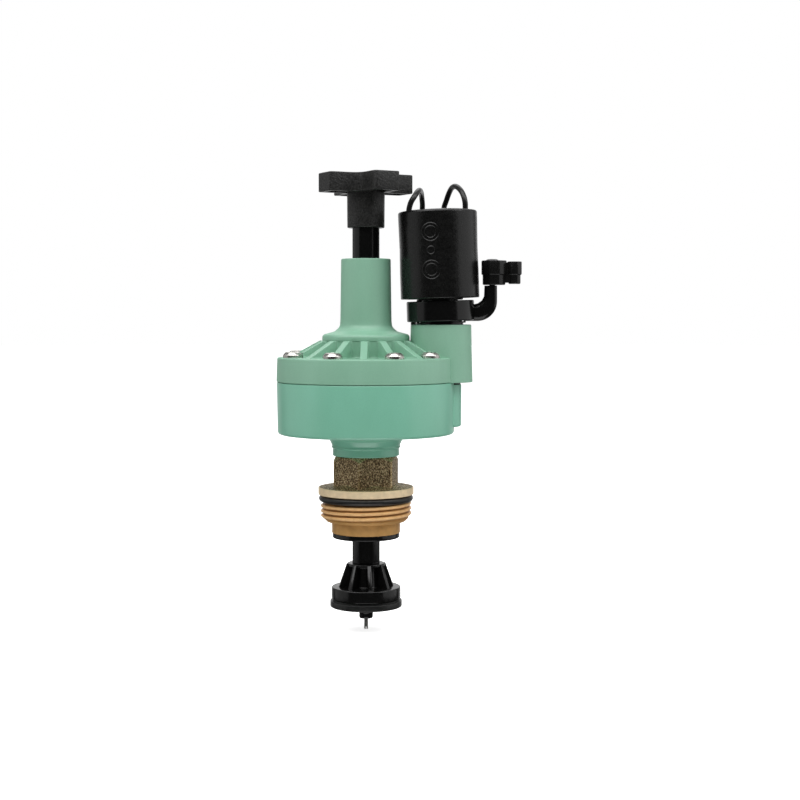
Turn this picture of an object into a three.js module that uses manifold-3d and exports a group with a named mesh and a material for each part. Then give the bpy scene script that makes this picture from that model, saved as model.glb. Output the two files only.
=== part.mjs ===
// Diaphragm actuator that turns a hand-operated brass irrigation valve into an electric zone valve.
// Millimetres, +Z up. The origin is on the main axis, in the plane where the brass flange meets the
// valve body.
// An azimuth is counted in degrees from the front (-Y) towards +X.
import * as THREE from "three";
import { mergeVertices } from "three/addons/utils/BufferGeometryUtils.js";
import Module from "manifold-3d";

const wasm = await Module();
wasm.setup();

// ---- driving dimensions ----
const GAP = 0.3; // clearance between pieces that fit into each other
const ROUND = 28; // facets round a large turned piece
const HIDDEN = 20; // facets round a large hidden one
const SMALL = 16; // facets round a small one
const TINY = 8; // facets round a hole, pin or shank

const SEAM_Z = 47.1; // bonnet flange meets the lower body
const BODY_R = 37.4;
const BODY_BOTTOM_Z = 25.4;
const BODY_WALL_R = 28.5; // radius of both diaphragm chambers
const CHAMBER_FLOOR_Z = 28.9;
const NECK_BOTTOM_Z = 16.2; // lower body neck meets the brass hex
const NECK_R = 14.0;
const SPIGOT_R = 9.2; // threaded spigot of the lower body in the hex
const SPIGOT_BOTTOM_Z = 4.5;
const FLARE = { low: 20.0, middleR: 15.5, middle: 22.9, topR: 18.6 }; // from the neck to the body's bottom

const BONNET_R = 37.5;
const FLANGE_TOP_Z = 57.5;
const BONNET_ROOF_Z = 54.0; // underside of the flange plate
const SHOULDER_R = 18.3;
const SHOULDER_BOTTOM_Z = 64.5;
const SHOULDER_TOP_Z = 67.8;
const CROWN_R = 14.8; // chamber under the shoulder
const CROWN_ROOF_Z = 64.3;
const STEM_NECK = { footR: 12.9, filletR: 11.6, lowR: 10.8, lowZ: 71.0, topR: 10.4 };
const STEM_BORE_R = 6.0;
const NECK_TOP_Z = 98.7;

const RIB_COUNT = 16;
const RIB_THICK = 2.9;
const RIB_INNER_R = 19.3;
const RIB_OUTER_R = 33.0;
const RIB_SHORT_R = 28.3; // ribs that stop at a screw

const SCREW_CIRCLE_R = 32.3;
const SCREW_AZIMUTHS = [-22.5, 22.5, 56, 124, 157.5, -157.5, -112.5, -67.5];
const SCREW_HEAD_R = 4.0;
const SCREW_HEAD_H = 2.7;
const SCREW_SHANK_R = 2.0;
const SCREW_TIP_Z = 34.0;

const DIAPHRAGM_THICK = 1.0;
const DIAPHRAGM_R = 35.5;
const DIAPHRAGM_HUB_Z = 41.6;
const DIAPHRAGM_SLOPE = { inner: 22.3, outer: 27.1, lean: 0.2 }; // lean keeps its thickness on the slope

const COLUMN_X = 31.5; // axis of the solenoid column and of the port boss under it
const COLUMN_TOP_R = 12.7;
const COLUMN_BOTTOM_R = 13.3;
const COLUMN_TOP_Z = 71.2;
const BOSS_R = 8.6;
const BOSS_BOTTOM_Z = 28.4;
const PASSAGE_R = 1.6;
const PASSAGE_INNER_X = 26.0; // the cross passages open into the chambers here
const SUPPLY = { x: 37.0, y: 4.0, r: 1.2, low: 51.0, crossZ: 51.5, crossSize: 2.0 };
const PORT = { low: 33.0, crossZ: 34.2, crossSize: 2.4 };
const SOLENOID_LEAN = THREE.MathUtils.degToRad(1.85); // its top leans towards -X

const HEX_FLATS = 25.0;
const HEX_VERTEX_AZIMUTH = -10;
const BRASS_FLANGE_R = 20.1;
const BRASS_FLANGE_TOP_Z = 3.1;
const THREAD_R = 19.05;
const THREAD_PITCH = 25.4 / 12;
const THREAD_DEPTH = 1.2;
const THREAD_TOP_Z = -3.3;
const THREAD_BOTTOM_Z = -11.3;
const COLLAR_R = 14.4;
const COLLAR_BOTTOM_Z = -16.2;
const BRASS_BORE_R = 7.8;
const BUSH_R = 14.15;
const BUSH_BOTTOM_Z = -18.3;
const BUSH_TOP_Z = -8.0;
const RELIEF_R = 16.7; // barrel behind the flange's O-ring
const SPIGOT_SEAT_Z = 2.5;

// O-rings: r and z are the place of the section's centre
const FLANGE_SEAL = { r: 18.34, z: -1.6, section: 2.62 };
const ADAPTER_SEAL = { r: 8.4, z: 3.45, section: 1.6 };
const STEM_SEAL = { r: 5.25, z: 93.0, section: 1.1 };
const SOLENOID_SEAL = { r: 8.95, z: -2.65, section: 1.1 };
const BLEED_SEAL = { r: 1.65, z: 86.0, section: 0.55 };

const ROD_R = 5.8;
const ROD_TOP_R = 4.0;
const ROD_TOP_Z = 49.0;
const LIFT = 6.5; // travel of the piston from its seat to fully open
const ROD_SHOULDER_Z = 39.0;
const ROD_BORE_R = 1.25; // water way from the valve inlet to the chamber over the diaphragm
const PLATE_R = 21.5;
const PLATE_THICK = 1.4;
const NUT = { r: 7.5, height: 4.2 };
const RETURN_SPRING = { r: 11.2, wire: 1.5, turns: 5 };
const ROD_TAIL = { r: 3.5, low: -43.9, screwR: 2.3, screwTop: -34.0 }; // spigot in the cage

const CAGE_TOP_Z = -29.1;
const CAGE_TOP_R = 8.2;
const CAGE_FIN_R = 11.55;
const CAGE_DISC_TOP_Z = -39.0;
const CAGE_DISC_R = 14.55;
const CAGE_DISC_BOTTOM_Z = -44.2;
const CAGE_FACETS = 32;
const FIN_COUNT = 8;
const FIN_THICK = 1.5;
const FIN_AZIMUTH = 11;
const SEAT_R = 15.1;
const SEAT_BOTTOM_Z = -47.3;
const SEAT_SCREW_R = 2.9;
const SEAT_SHANK_R = 2.0;
const SEAT_SINK = 1.0; // depth of the washer's counterbore, which takes the screw's head
const SEAT_SCREW_BOTTOM_Z = -52.4;
const SEAT_SCREW_TOP_Z = -35.0;
const PIN_R = 0.8;
const PIN_BOTTOM_Z = -57.1;
const PIN_TOP_Z = -35.5;
const PIN_FORK = { width: 0.5, depth: 1.6 };

const STEM_R = 5.7;
const PAD_BOTTOM_Z = ROD_TOP_Z + LIFT + GAP; // the pad stops the rod at full lift
const PAD_TOP_Z = PAD_BOTTOM_Z + 2.9;
const PAD = { r: 5.2, edge: 0.4, boreR: 2.3, floor: 0.8 };
const STEM_BOTTOM_Z = PAD_TOP_Z + GAP;
const STEM_TIP = { r: 2.0, z: PAD_BOTTOM_Z + 1.2 };
const STEM_GROOVE = { r: 4.6, low: 92.2, high: 93.8 };
const STEM_SPIGOT = { r: 4.5, top: 124.0, boreR: 1.9, boreFloor: 116.0 }; // in the knob's socket
const HUB_R = 7.85;
const HUB_BOTTOM_Z = 111.7;
const KNOB_BOTTOM_Z = 126.3;
const KNOB_TOP_Z = 134.2;
const KNOB_R = 19.7;
const KNOB_LOBE_WIDTH = 11.3;
const KNOB_LOBE_AZIMUTH = 30;
const KNOB_PLATE_THICK = 2.8;
const KNOB_WALL = 2.0;
const KNOB_LOBE_CORNER = 3.0;
const KNOB_VALLEY_R = 9.5;
const KNOB_SOCKET = { r: STEM_SPIGOT.r + GAP, top: STEM_SPIGOT.top + GAP };
const KNOB_SCREW = { headR: 3.9, headH: 1.9, shankR: 1.6, length: 15.0, seatZ: 132.0, recessR: 4.3 };

// Solenoid, on its own axis; heights are counted from the column's top.
const COLLAR = { low: 1.4, high: 9.9, outer: 14.2, bore: 9.3 };
const ADAPTER = {
  plugR: 9.4,
  plugLow: -11.0,
  grooveR: 8.2,
  grooveLow: -3.4,
  grooveHigh: -1.9,
  flangeR: 10.5,
  flangeLow: 0.45,
  neckR: 9.0,
  neckTop: 9.6,
  tubeR: 7.5,
  tubeTop: 16.0,
  chamberR: 5.2,
  chamberFloor: 3.8,
  lipFootR: 2.2,
  lipR: 1.4,
  lipTop: 5.0,
  orificeR: 0.8,
  supplyX: 3.8,
};
const CASE = { low: 10.9, high: 47.9, r: 16.6, cavityR: 14.6, roof: 45.2 };
const LEAD_SOCKETS = [[-11.86, -8.6], [11.56, -5]]; // x and y in the case's top
const LEAD_SOCKET_FLOOR = 45.9;
const BASE = { boreR: 7.8, stepR: 9.6, plateLow: 11.2, top: 15.5 };
const BOBBIN = { boreR: 6.2, hubR: 7.0, flangeR: 13.8, low: 17.0, high: 44.6, flange: 1.4 };
const WINDING = { innerR: 7.4, outerR: 13.2 };
const CORE_TUBE = { innerR: 5.25, outerR: 5.9, top: 44.7 };
const PLUNGER = { r: 4.9, low: 5.7, edge: 0.4, top: 29.0, boreR: 2.9, sealRoof: 7.6, springFloor: 20.7 };
const PLUNGER_SEAL_R = 2.6;
const PLUNGER_SPRING = { r: 2.1, wire: 0.6, turns: 5 };
const POLE = { low: 31.6, high: 44.4 };

const ARM = {
  left: 49.6,
  right: 55.0,
  top: 87.5,
  bendX: 46.8,
  bendZ: 80.9,
  bendR: 8.25,
  halfDepth: 2.7,
  rootX: 42.0, // inside the collar
  rootTop: 79.7,
  cornerX: 45.6, // inner corner of the bend, cut off up to cornerTop
  cornerTop: 81.6,
};
const HANDLE = { x: 53.0, low: 87.8, parting: 92.0, high: 98.0, step: 0.35 };
const HANDLE_HUB = { x: 53.7, r: 5.2 };
const HANDLE_LOBE = { x: 62.3, r: 3.0 };
const HANDLE_WEB = { x: 59.0, length: 8.0, width: 3.6 };
const BLEED_STEM = { r: 1.3, low: 80.2, point: 1.0, pointR: 0.9, headR: 2.6, headH: 0.7, headEdge: 0.3 };
const BLEED_BORE = { r: BLEED_STEM.r + GAP, low: 79.5, sealR: 2.25, sealLow: 85.0 };

const WIRE_R = 1.15;
const HANK = {
  x: 29.5, // middle of the hank
  z: 88.5,
  front: 19.3,
  back: 31.5,
  endR: 10.8, // round ends
  waist: 6.8, // half width under the tie
  halfRun: 17.2, // from the middle to the centre of a round end
};

// ---- making and joining solids ----
function solid(geometry) {
  geometry.deleteAttribute("normal");
  geometry.deleteAttribute("uv");
  const merged = mergeVertices(geometry, 1e-4);
  const corners = merged.index.array;
  const kept = [];
  for (let i = 0; i < corners.length; i += 3) {
    const [a, b, c] = [corners[i], corners[i + 1], corners[i + 2]];
    if (a !== b && b !== c && c !== a) kept.push(a, b, c);
  }
  const vertProperties = merged.attributes.position.array;
  const made = new wasm.Manifold(
    new wasm.Mesh({ numProp: 3, vertProperties, triVerts: Uint32Array.from(kept) }),
  );
  if (made.volume() > 0) return made;
  const turned = Uint32Array.from(kept, (_, i) => kept[i - (i % 3) + 2 - (i % 3)]);
  return new wasm.Manifold(new wasm.Mesh({ numProp: 3, vertProperties, triVerts: turned }));
}

function geometryOf(manifold) {
  const mesh = manifold.getMesh();
  const points = new Float32Array(mesh.numVert * 3);
  for (let v = 0; v < mesh.numVert; v++) {
    for (let k = 0; k < 3; k++) points[v * 3 + k] = mesh.vertProperties[v * mesh.numProp + k];
  }
  const geometry = new THREE.BufferGeometry();
  geometry.setAttribute("position", new THREE.BufferAttribute(points, 3));
  geometry.setIndex(new THREE.BufferAttribute(new Uint32Array(mesh.triVerts), 1));
  geometry.computeVertexNormals();
  return geometry;
}

const join = (first, ...rest) => rest.reduce((all, one) => all.add(one), first);
const cut = (first, ...rest) => rest.reduce((all, one) => all.subtract(one), first);

// A profile of [radius, z] points turned about the Z axis through (x, 0).
function turned(profile, facets = ROUND, x = 0) {
  const points = profile.map(([r, z]) => new THREE.Vector2(r, z));
  const geometry = new THREE.LatheGeometry(points, facets);
  geometry.rotateX(Math.PI / 2);
  geometry.translate(x, 0, 0);
  return solid(geometry);
}

const rod = (r, low, high, facets = SMALL, x = 0, y = 0) => {
  const geometry = new THREE.CylinderGeometry(r, r, high - low, facets);
  geometry.rotateX(Math.PI / 2);
  geometry.translate(x, y, (low + high) / 2);
  return solid(geometry);
};

function ring(inner, outer, low, high, facets = ROUND) {
  return turned([[inner, low], [outer, low], [outer, high], [inner, high], [inner, low]], facets);
}

function oRing({ r, z, section }, facets = ROUND) {
  const geometry = new THREE.TorusGeometry(r, section / 2, 6, facets);
  geometry.translate(0, 0, z);
  return solid(geometry);
}

function block(sizeX, sizeY, sizeZ, x, y, z) {
  const geometry = new THREE.BoxGeometry(sizeX, sizeY, sizeZ);
  geometry.translate(x, y, z);
  return solid(geometry);
}

// An outline in the XY plane, raised from low to high.
function raised(shape, low, high, curveSegments = 8) {
  const geometry = new THREE.ExtrudeGeometry(shape, {
    depth: high - low,
    bevelEnabled: false,
    curveSegments,
  });
  geometry.translate(0, 0, low);
  return solid(geometry);
}

// An outline of [x, z] in the XZ plane, from y = front to y = back.
function slab(shape, front, back, curveSegments = 8) {
  const geometry = new THREE.ExtrudeGeometry(shape, {
    depth: back - front,
    bevelEnabled: false,
    curveSegments,
  });
  geometry.rotateX(Math.PI / 2);
  geometry.translate(0, back, 0);
  return solid(geometry);
}

const outline = (points) => new THREE.Shape(points.map(([x, y]) => new THREE.Vector2(x, y)));

function roundedBar(length, width, corner) {
  const [a, b] = [length / 2, width / 2];
  const shape = new THREE.Shape();
  shape.moveTo(-a + corner, -b);
  shape.lineTo(a - corner, -b);
  shape.absarc(a - corner, -b + corner, corner, -Math.PI / 2, 0, false);
  shape.lineTo(a, b - corner);
  shape.absarc(a - corner, b - corner, corner, 0, Math.PI / 2, false);
  shape.lineTo(-a + corner, b);
  shape.absarc(-a + corner, b - corner, corner, Math.PI / 2, Math.PI, false);
  shape.lineTo(-a, -b + corner);
  shape.absarc(-a + corner, -b + corner, corner, Math.PI, Math.PI * 1.5, false);
  return shape;
}

// A round section swept along a curve.
function swept(curve, r, sides, steps) {
  const section = new THREE.Shape();
  for (let i = 0; i < sides; i++) {
    const angle = (i / sides) * 2 * Math.PI;
    const [x, y] = [r * Math.cos(angle), r * Math.sin(angle)];
    if (i === 0) section.moveTo(x, y);
    else section.lineTo(x, y);
  }
  return solid(new THREE.ExtrudeGeometry(section, { extrudePath: curve, steps }));
}

class Helix extends THREE.Curve {
  constructor(r, low, high, turns) {
    super();
    Object.assign(this, { r, low, high, turns });
  }
  getPoint(t, target = new THREE.Vector3()) {
    const angle = 2 * Math.PI * this.turns * t;
    const z = this.low + (this.high - this.low) * t;
    return target.set(this.r * Math.cos(angle), this.r * Math.sin(angle), z);
  }
}

function coilSpring({ r, wire, turns }, low, high) {
  const path = new Helix(r, low + wire / 2, high - wire / 2, turns);
  return swept(path, wire / 2, 5, turns * 9);
}

const turnedBy = (manifold, azimuth) => manifold.rotate([0, 0, azimuth]);
const at = (azimuth, r) => {
  const a = THREE.MathUtils.degToRad(azimuth);
  return [r * Math.sin(a), -r * Math.cos(a)];
};

// ---- the groups and their materials ----
const root = new THREE.Group();
const solenoidAxis = new THREE.Group();
solenoidAxis.position.set(COLUMN_X, 0, COLUMN_TOP_Z);
solenoidAxis.rotation.y = -SOLENOID_LEAN;
root.add(solenoidAxis);

const material = (color, roughness, metalness = 0) =>
  new THREE.MeshStandardMaterial({ color, roughness, metalness });
const GREEN_COVER = material(0x7caa90, 0.55);
const GREEN_BODY = material(0x7ab29c, 0.5);
const BLACK_PLASTIC = material(0x1b1b1b, 0.5);
const BLACK_GLOSSY = material(0x121212, 0.25);
const BLACK_RUBBER = material(0x161616, 0.7);
const BRASS_CAST = material(0x8a7350, 0.6, 0.8);
const STEEL = material(0xb9b9b4, 0.3, 1);
const COPPER = material(0xb8693c, 0.35, 1);
const WHITE_PLASTIC = material(0xd8d6cc, 0.5);

function piece(name, manifold, look, parent = root) {
  const mesh = new THREE.Mesh(geometryOf(manifold), look);
  mesh.name = name;
  parent.add(mesh);
}

// Moves a solid made on the solenoid's own axis to its place in the part.
function leaning(manifold) {
  const degrees = -THREE.MathUtils.radToDeg(SOLENOID_LEAN);
  return manifold.rotate([0, degrees, 0]).translate([COLUMN_X, 0, COLUMN_TOP_Z]);
}

// ---- bonnet and lower body ----
function screwHoles(low, high) {
  return SCREW_AZIMUTHS.map((azimuth) => {
    const [x, y] = at(azimuth, SCREW_CIRCLE_R);
    return rod(SCREW_SHANK_R + GAP, low, high, TINY, x, y);
  });
}

function rib(azimuth) {
  const short = SCREW_AZIMUTHS.includes(azimuth);
  const slope = (SHOULDER_BOTTOM_Z - FLANGE_TOP_Z + 0.3) / (RIB_OUTER_R - RIB_INNER_R);
  const end = short ? RIB_SHORT_R : RIB_OUTER_R;
  const endZ = SHOULDER_BOTTOM_Z - slope * (end - RIB_INNER_R);
  const foot = FLANGE_TOP_Z - 0.5;
  const inner = SHOULDER_R - 1.5;
  const shape = outline([
    [inner, foot],
    [end, foot],
    [end, Math.max(endZ, foot + 0.1)],
    [RIB_INNER_R, SHOULDER_BOTTOM_Z],
    [inner, SHOULDER_BOTTOM_Z],
  ]);
  return turnedBy(slab(shape, -RIB_THICK / 2, RIB_THICK / 2), azimuth - 90);
}

function makeBonnet() {
  const wallR = SHOULDER_R - 0.2;
  const edge = 0.6;
  const cornerR = 1.5;
  const shell = turned([
    [BODY_WALL_R - 0.5, SEAM_Z],
    [BONNET_R, SEAM_Z],
    [BONNET_R - 0.3, FLANGE_TOP_Z - edge],
    [BONNET_R - 0.3 - edge, FLANGE_TOP_Z],
    [wallR, FLANGE_TOP_Z],
    [wallR, SHOULDER_BOTTOM_Z],
    [SHOULDER_R, SHOULDER_BOTTOM_Z],
    [SHOULDER_R, SHOULDER_TOP_Z - cornerR],
    [SHOULDER_R - 0.45, SHOULDER_TOP_Z - 0.45],
    [SHOULDER_R - cornerR, SHOULDER_TOP_Z],
    [STEM_NECK.footR, SHOULDER_TOP_Z],
    [STEM_NECK.filletR, SHOULDER_TOP_Z + 0.9],
    [STEM_NECK.lowR, STEM_NECK.lowZ],
    [STEM_NECK.topR, NECK_TOP_Z - edge],
    [STEM_NECK.topR - edge, NECK_TOP_Z],
    [STEM_BORE_R, NECK_TOP_Z],
    [STEM_BORE_R, CROWN_ROOF_Z],
    [CROWN_R, CROWN_ROOF_Z],
    [CROWN_R, BONNET_ROOF_Z],
    [BODY_WALL_R - 0.5, BONNET_ROOF_Z],
    [BODY_WALL_R - 0.5, SEAM_Z],
  ]);
  const column = turned(
    [[0, SEAM_Z], [COLUMN_BOTTOM_R, SEAM_Z], [COLUMN_TOP_R, COLUMN_TOP_Z], [0, COLUMN_TOP_Z]],
    ROUND,
    COLUMN_X,
  );
  const columnAzimuth = 90;
  const ribs = [];
  for (let i = 0; i < RIB_COUNT; i++) {
    let azimuth = (i * 360) / RIB_COUNT;
    if (azimuth > 180) azimuth -= 360;
    if (azimuth !== columnAzimuth) ribs.push(rib(azimuth));
  }
  const chamber = rod(BODY_WALL_R - 0.5, SEAM_Z - 1, BONNET_ROOF_Z, ROUND);
  const solenoidBore = leaning(rod(ADAPTER.plugR + GAP, ADAPTER.plugLow - 2 * GAP, 2, ROUND));
  const boreFloorZ = COLUMN_TOP_Z - 8;
  const exhaust = rod(PASSAGE_R, SEAM_Z - 1, boreFloorZ, TINY, COLUMN_X);
  const supply = rod(SUPPLY.r, SUPPLY.low, boreFloorZ, TINY, SUPPLY.x, SUPPLY.y);
  const supplyCross = block(
    SUPPLY.x + SUPPLY.r - PASSAGE_INNER_X,
    SUPPLY.crossSize,
    SUPPLY.crossSize,
    (SUPPLY.x + SUPPLY.r + PASSAGE_INNER_X) / 2,
    SUPPLY.y,
    SUPPLY.crossZ,
  );
  return cut(
    join(shell, column, ...ribs),
    chamber,
    solenoidBore,
    exhaust,
    supply,
    supplyCross,
    ...screwHoles(SEAM_Z - 1, FLANGE_TOP_Z + 1),
  );
}

function makeLowerBody() {
  const corner = 1.3;
  const bowl = turned([
    [ROD_R + GAP, SPIGOT_BOTTOM_Z],
    [SPIGOT_R, SPIGOT_BOTTOM_Z],
    [SPIGOT_R, NECK_BOTTOM_Z],
    [NECK_R, NECK_BOTTOM_Z],
    [NECK_R, FLARE.low],
    [FLARE.middleR, FLARE.middle],
    [FLARE.topR, BODY_BOTTOM_Z],
    [BODY_R - 0.4 - corner, BODY_BOTTOM_Z],
    [BODY_R - 0.4 - 0.38, BODY_BOTTOM_Z + 0.38],
    [BODY_R - 0.4, BODY_BOTTOM_Z + corner],
    [BODY_R, SEAM_Z],
    [DIAPHRAGM_R + GAP, SEAM_Z],
    [DIAPHRAGM_R + GAP, SEAM_Z - DIAPHRAGM_THICK],
    [BODY_WALL_R, SEAM_Z - DIAPHRAGM_THICK],
    [BODY_WALL_R, CHAMBER_FLOOR_Z],
    [ROD_R + GAP, CHAMBER_FLOOR_Z],
    [ROD_R + GAP, SPIGOT_BOTTOM_Z],
  ]);
  const ledge = SEAM_Z - DIAPHRAGM_THICK;
  const boss = rod(BOSS_R, BOSS_BOTTOM_Z, ledge, ROUND, COLUMN_X);
  const chamber = rod(BODY_WALL_R, CHAMBER_FLOOR_Z, SEAM_Z, ROUND);
  const earRecess = rod(BOSS_R + 0.2, ledge, SEAM_Z + 1, ROUND, COLUMN_X);
  const port = rod(PASSAGE_R, PORT.low, SEAM_Z, TINY, COLUMN_X);
  const portCross = block(
    COLUMN_X - PASSAGE_INNER_X,
    PORT.crossSize,
    PORT.crossSize,
    (COLUMN_X + PASSAGE_INNER_X) / 2,
    0,
    PORT.crossZ,
  );
  return cut(
    join(bowl, boss),
    chamber,
    earRecess,
    port,
    portCross,
    ...screwHoles(SCREW_TIP_Z - 1, SEAM_Z + 1),
  );
}

function makeDiaphragm() {
  const low = SEAM_Z - DIAPHRAGM_THICK;
  const hubLow = DIAPHRAGM_HUB_Z - DIAPHRAGM_THICK / 2;
  const hubHigh = hubLow + DIAPHRAGM_THICK;
  const { inner, outer, lean } = DIAPHRAGM_SLOPE;
  const sheet = turned([
    [ROD_TOP_R + GAP, hubLow],
    [inner + lean, hubLow],
    [outer + lean, low],
    [DIAPHRAGM_R, low],
    [DIAPHRAGM_R, SEAM_Z],
    [outer - lean, SEAM_Z],
    [inner - lean, hubHigh],
    [ROD_TOP_R + GAP, hubHigh],
    [ROD_TOP_R + GAP, hubLow],
  ]);
  const middle = rod(outer - lean / 2, low - 1, SEAM_Z + 1, ROUND);
  const ear = cut(rod(BOSS_R - 0.4, low, SEAM_Z, ROUND, COLUMN_X), middle);
  const port = rod(PASSAGE_R, low - 1, SEAM_Z + 1, TINY, COLUMN_X);
  return cut(join(sheet, ear), port, ...screwHoles(low - 1, SEAM_Z + 1));
}

function panHeadScrew(headR, headH, shankR, length) {
  const head = turned([
    [0, -length],
    [shankR * 0.5, -length],
    [shankR, -length + shankR],
    [shankR, 0],
    [headR, 0],
    [headR, headH * 0.45],
    [headR * 0.72, headH * 0.88],
    [0, headH],
  ], TINY);
  const slot = headR * 0.28;
  const depth = headH * 0.55;
  const arm = (x, y) => block(x, y, depth * 2, 0, 0, headH);
  return cut(head, arm(headR * 1.1, slot), arm(slot, headR * 1.1));
}

piece("lower_body", makeLowerBody(), GREEN_BODY);
piece("bonnet", makeBonnet(), GREEN_COVER);
piece("diaphragm", makeDiaphragm(), BLACK_RUBBER);
SCREW_AZIMUTHS.forEach((azimuth, i) => {
  const [x, y] = at(azimuth, SCREW_CIRCLE_R);
  const length = FLANGE_TOP_Z - SCREW_TIP_Z;
  const screw = panHeadScrew(SCREW_HEAD_R, SCREW_HEAD_H, SCREW_SHANK_R, length);
  piece(`bonnet_screw_${i + 1}`, screw.translate([x, y, FLANGE_TOP_Z]), STEEL);
});

// ---- brass adapter, its seals and the rod's guide ----
function makeBrassAdapter() {
  const turns = Math.floor((THREAD_TOP_Z - THREAD_BOTTOM_Z) / THREAD_PITCH);
  const rootR = THREAD_R - THREAD_DEPTH;
  const thread = [];
  for (let i = 0; i < turns; i++) {
    const low = THREAD_BOTTOM_Z + 0.5 + i * THREAD_PITCH;
    thread.push([rootR, low], [THREAD_R, low + THREAD_PITCH * 0.42]);
    thread.push([THREAD_R, low + THREAD_PITCH * 0.58]);
  }
  const barrel = turned([
    [BRASS_BORE_R, COLLAR_BOTTOM_Z],
    [COLLAR_R, COLLAR_BOTTOM_Z],
    [COLLAR_R, THREAD_BOTTOM_Z],
    [rootR, THREAD_BOTTOM_Z],
    ...thread,
    [rootR, THREAD_TOP_Z],
    [RELIEF_R, THREAD_TOP_Z],
    [RELIEF_R, 0],
    [BRASS_FLANGE_R, 0],
    [BRASS_FLANGE_R, BRASS_FLANGE_TOP_Z],
    [SPIGOT_R + GAP, BRASS_FLANGE_TOP_Z],
    [SPIGOT_R + GAP, SPIGOT_SEAT_Z],
    [BRASS_BORE_R, SPIGOT_SEAT_Z],
    [BRASS_BORE_R, COLLAR_BOTTOM_Z],
  ]);
  const cornerR = HEX_FLATS / Math.sqrt(3);
  const hexBar = turnedBy(rod(cornerR, BRASS_FLANGE_TOP_Z - 0.5, NECK_BOTTOM_Z, 6), HEX_VERTEX_AZIMUTH);
  const chamferTop = turned([
    [0, -1],
    [cornerR + 1, -1],
    [cornerR + 1, NECK_BOTTOM_Z - (cornerR + 1 - HEX_FLATS / 2) * 0.58],
    [HEX_FLATS / 2, NECK_BOTTOM_Z],
    [0, NECK_BOTTOM_Z],
  ]);
  const hex = cut(hexBar.intersect(chamferTop), rod(SPIGOT_R + GAP, 2, NECK_BOTTOM_Z + 1, ROUND));
  return join(barrel, hex);
}

const bush = turned([
  [ROD_R + GAP, BUSH_BOTTOM_Z],
  [BUSH_R, BUSH_BOTTOM_Z],
  [BUSH_R, COLLAR_BOTTOM_Z],
  [BRASS_BORE_R - GAP, COLLAR_BOTTOM_Z],
  [BRASS_BORE_R - GAP, BUSH_TOP_Z],
  [ROD_R + GAP, BUSH_TOP_Z],
  [ROD_R + GAP, BUSH_BOTTOM_Z],
]);

piece("brass_adapter", makeBrassAdapter(), BRASS_CAST);
piece("flange_o_ring", oRing(FLANGE_SEAL), BLACK_RUBBER);
piece("adapter_o_ring", oRing(ADAPTER_SEAL, SMALL), BLACK_RUBBER);
piece("rod_guide_bush", bush, BLACK_PLASTIC);

// ---- piston: rod, diaphragm plates, nut, seat cage, washer and metering pin ----
function makeRod() {
  const { r, low, screwR, screwTop } = ROD_TAIL;
  return turned([
    [screwR, low],
    [r, low],
    [r, CAGE_TOP_Z],
    [ROD_R, CAGE_TOP_Z],
    [ROD_R, ROD_SHOULDER_Z],
    [ROD_TOP_R, ROD_SHOULDER_Z],
    [ROD_TOP_R, ROD_TOP_Z - 0.5],
    [ROD_TOP_R - 0.5, ROD_TOP_Z],
    [ROD_BORE_R, ROD_TOP_Z],
    [ROD_BORE_R, screwTop],
    [screwR, screwTop],
    [screwR, low],
  ], SMALL);
}

function makeCage() {
  const bore = ROD_TAIL.r + GAP;
  const coreR = 5.6;
  const topPlate = 1.2;
  const hub = turned([
    [bore, CAGE_DISC_BOTTOM_Z],
    [CAGE_DISC_R - 0.4, CAGE_DISC_BOTTOM_Z],
    [CAGE_DISC_R, CAGE_DISC_BOTTOM_Z + 0.4],
    [CAGE_DISC_R, CAGE_DISC_TOP_Z],
    [coreR, CAGE_DISC_TOP_Z],
    [coreR, CAGE_TOP_Z - topPlate],
    [CAGE_TOP_R, CAGE_TOP_Z - topPlate],
    [CAGE_TOP_R, CAGE_TOP_Z],
    [bore, CAGE_TOP_Z],
    [bore, CAGE_DISC_BOTTOM_Z],
  ], CAGE_FACETS);
  const fin = slab(
    outline([
      [coreR - 1, CAGE_DISC_TOP_Z - 0.5],
      [CAGE_FIN_R, CAGE_DISC_TOP_Z - 0.5],
      [CAGE_FIN_R, CAGE_DISC_TOP_Z],
      [CAGE_TOP_R - 0.1, CAGE_TOP_Z - 0.2],
      [coreR - 1, CAGE_TOP_Z - 0.2],
    ]),
    -FIN_THICK / 2,
    FIN_THICK / 2,
  );
  const fins = [];
  for (let i = 0; i < FIN_COUNT; i++) {
    fins.push(turnedBy(fin, FIN_AZIMUTH - 90 + (i * 360) / FIN_COUNT));
  }
  return join(hub, ...fins);
}

function makeSeatScrew() {
  const bore = PIN_R + GAP;
  return turned([
    [bore, SEAT_SCREW_BOTTOM_Z],
    [SEAT_SCREW_R - 0.4, SEAT_SCREW_BOTTOM_Z],
    [SEAT_SCREW_R, SEAT_SCREW_BOTTOM_Z + 0.4],
    [SEAT_SCREW_R, SEAT_BOTTOM_Z + SEAT_SINK],
    [SEAT_SHANK_R, SEAT_BOTTOM_Z + SEAT_SINK],
    [SEAT_SHANK_R, SEAT_SCREW_TOP_Z],
    [bore, SEAT_SCREW_TOP_Z],
    [bore, SEAT_SCREW_BOTTOM_Z],
  ], SMALL);
}

function makeSeatWasher() {
  const bore = SEAT_SHANK_R + GAP;
  const sinkR = SEAT_SCREW_R + GAP;
  return turned([
    [bore, CAGE_DISC_BOTTOM_Z],
    [SEAT_R, CAGE_DISC_BOTTOM_Z],
    [SEAT_R, SEAT_BOTTOM_Z],
    [sinkR, SEAT_BOTTOM_Z],
    [sinkR, SEAT_BOTTOM_Z + SEAT_SINK],
    [bore, SEAT_BOTTOM_Z + SEAT_SINK],
    [bore, CAGE_DISC_BOTTOM_Z],
  ]);
}

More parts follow.
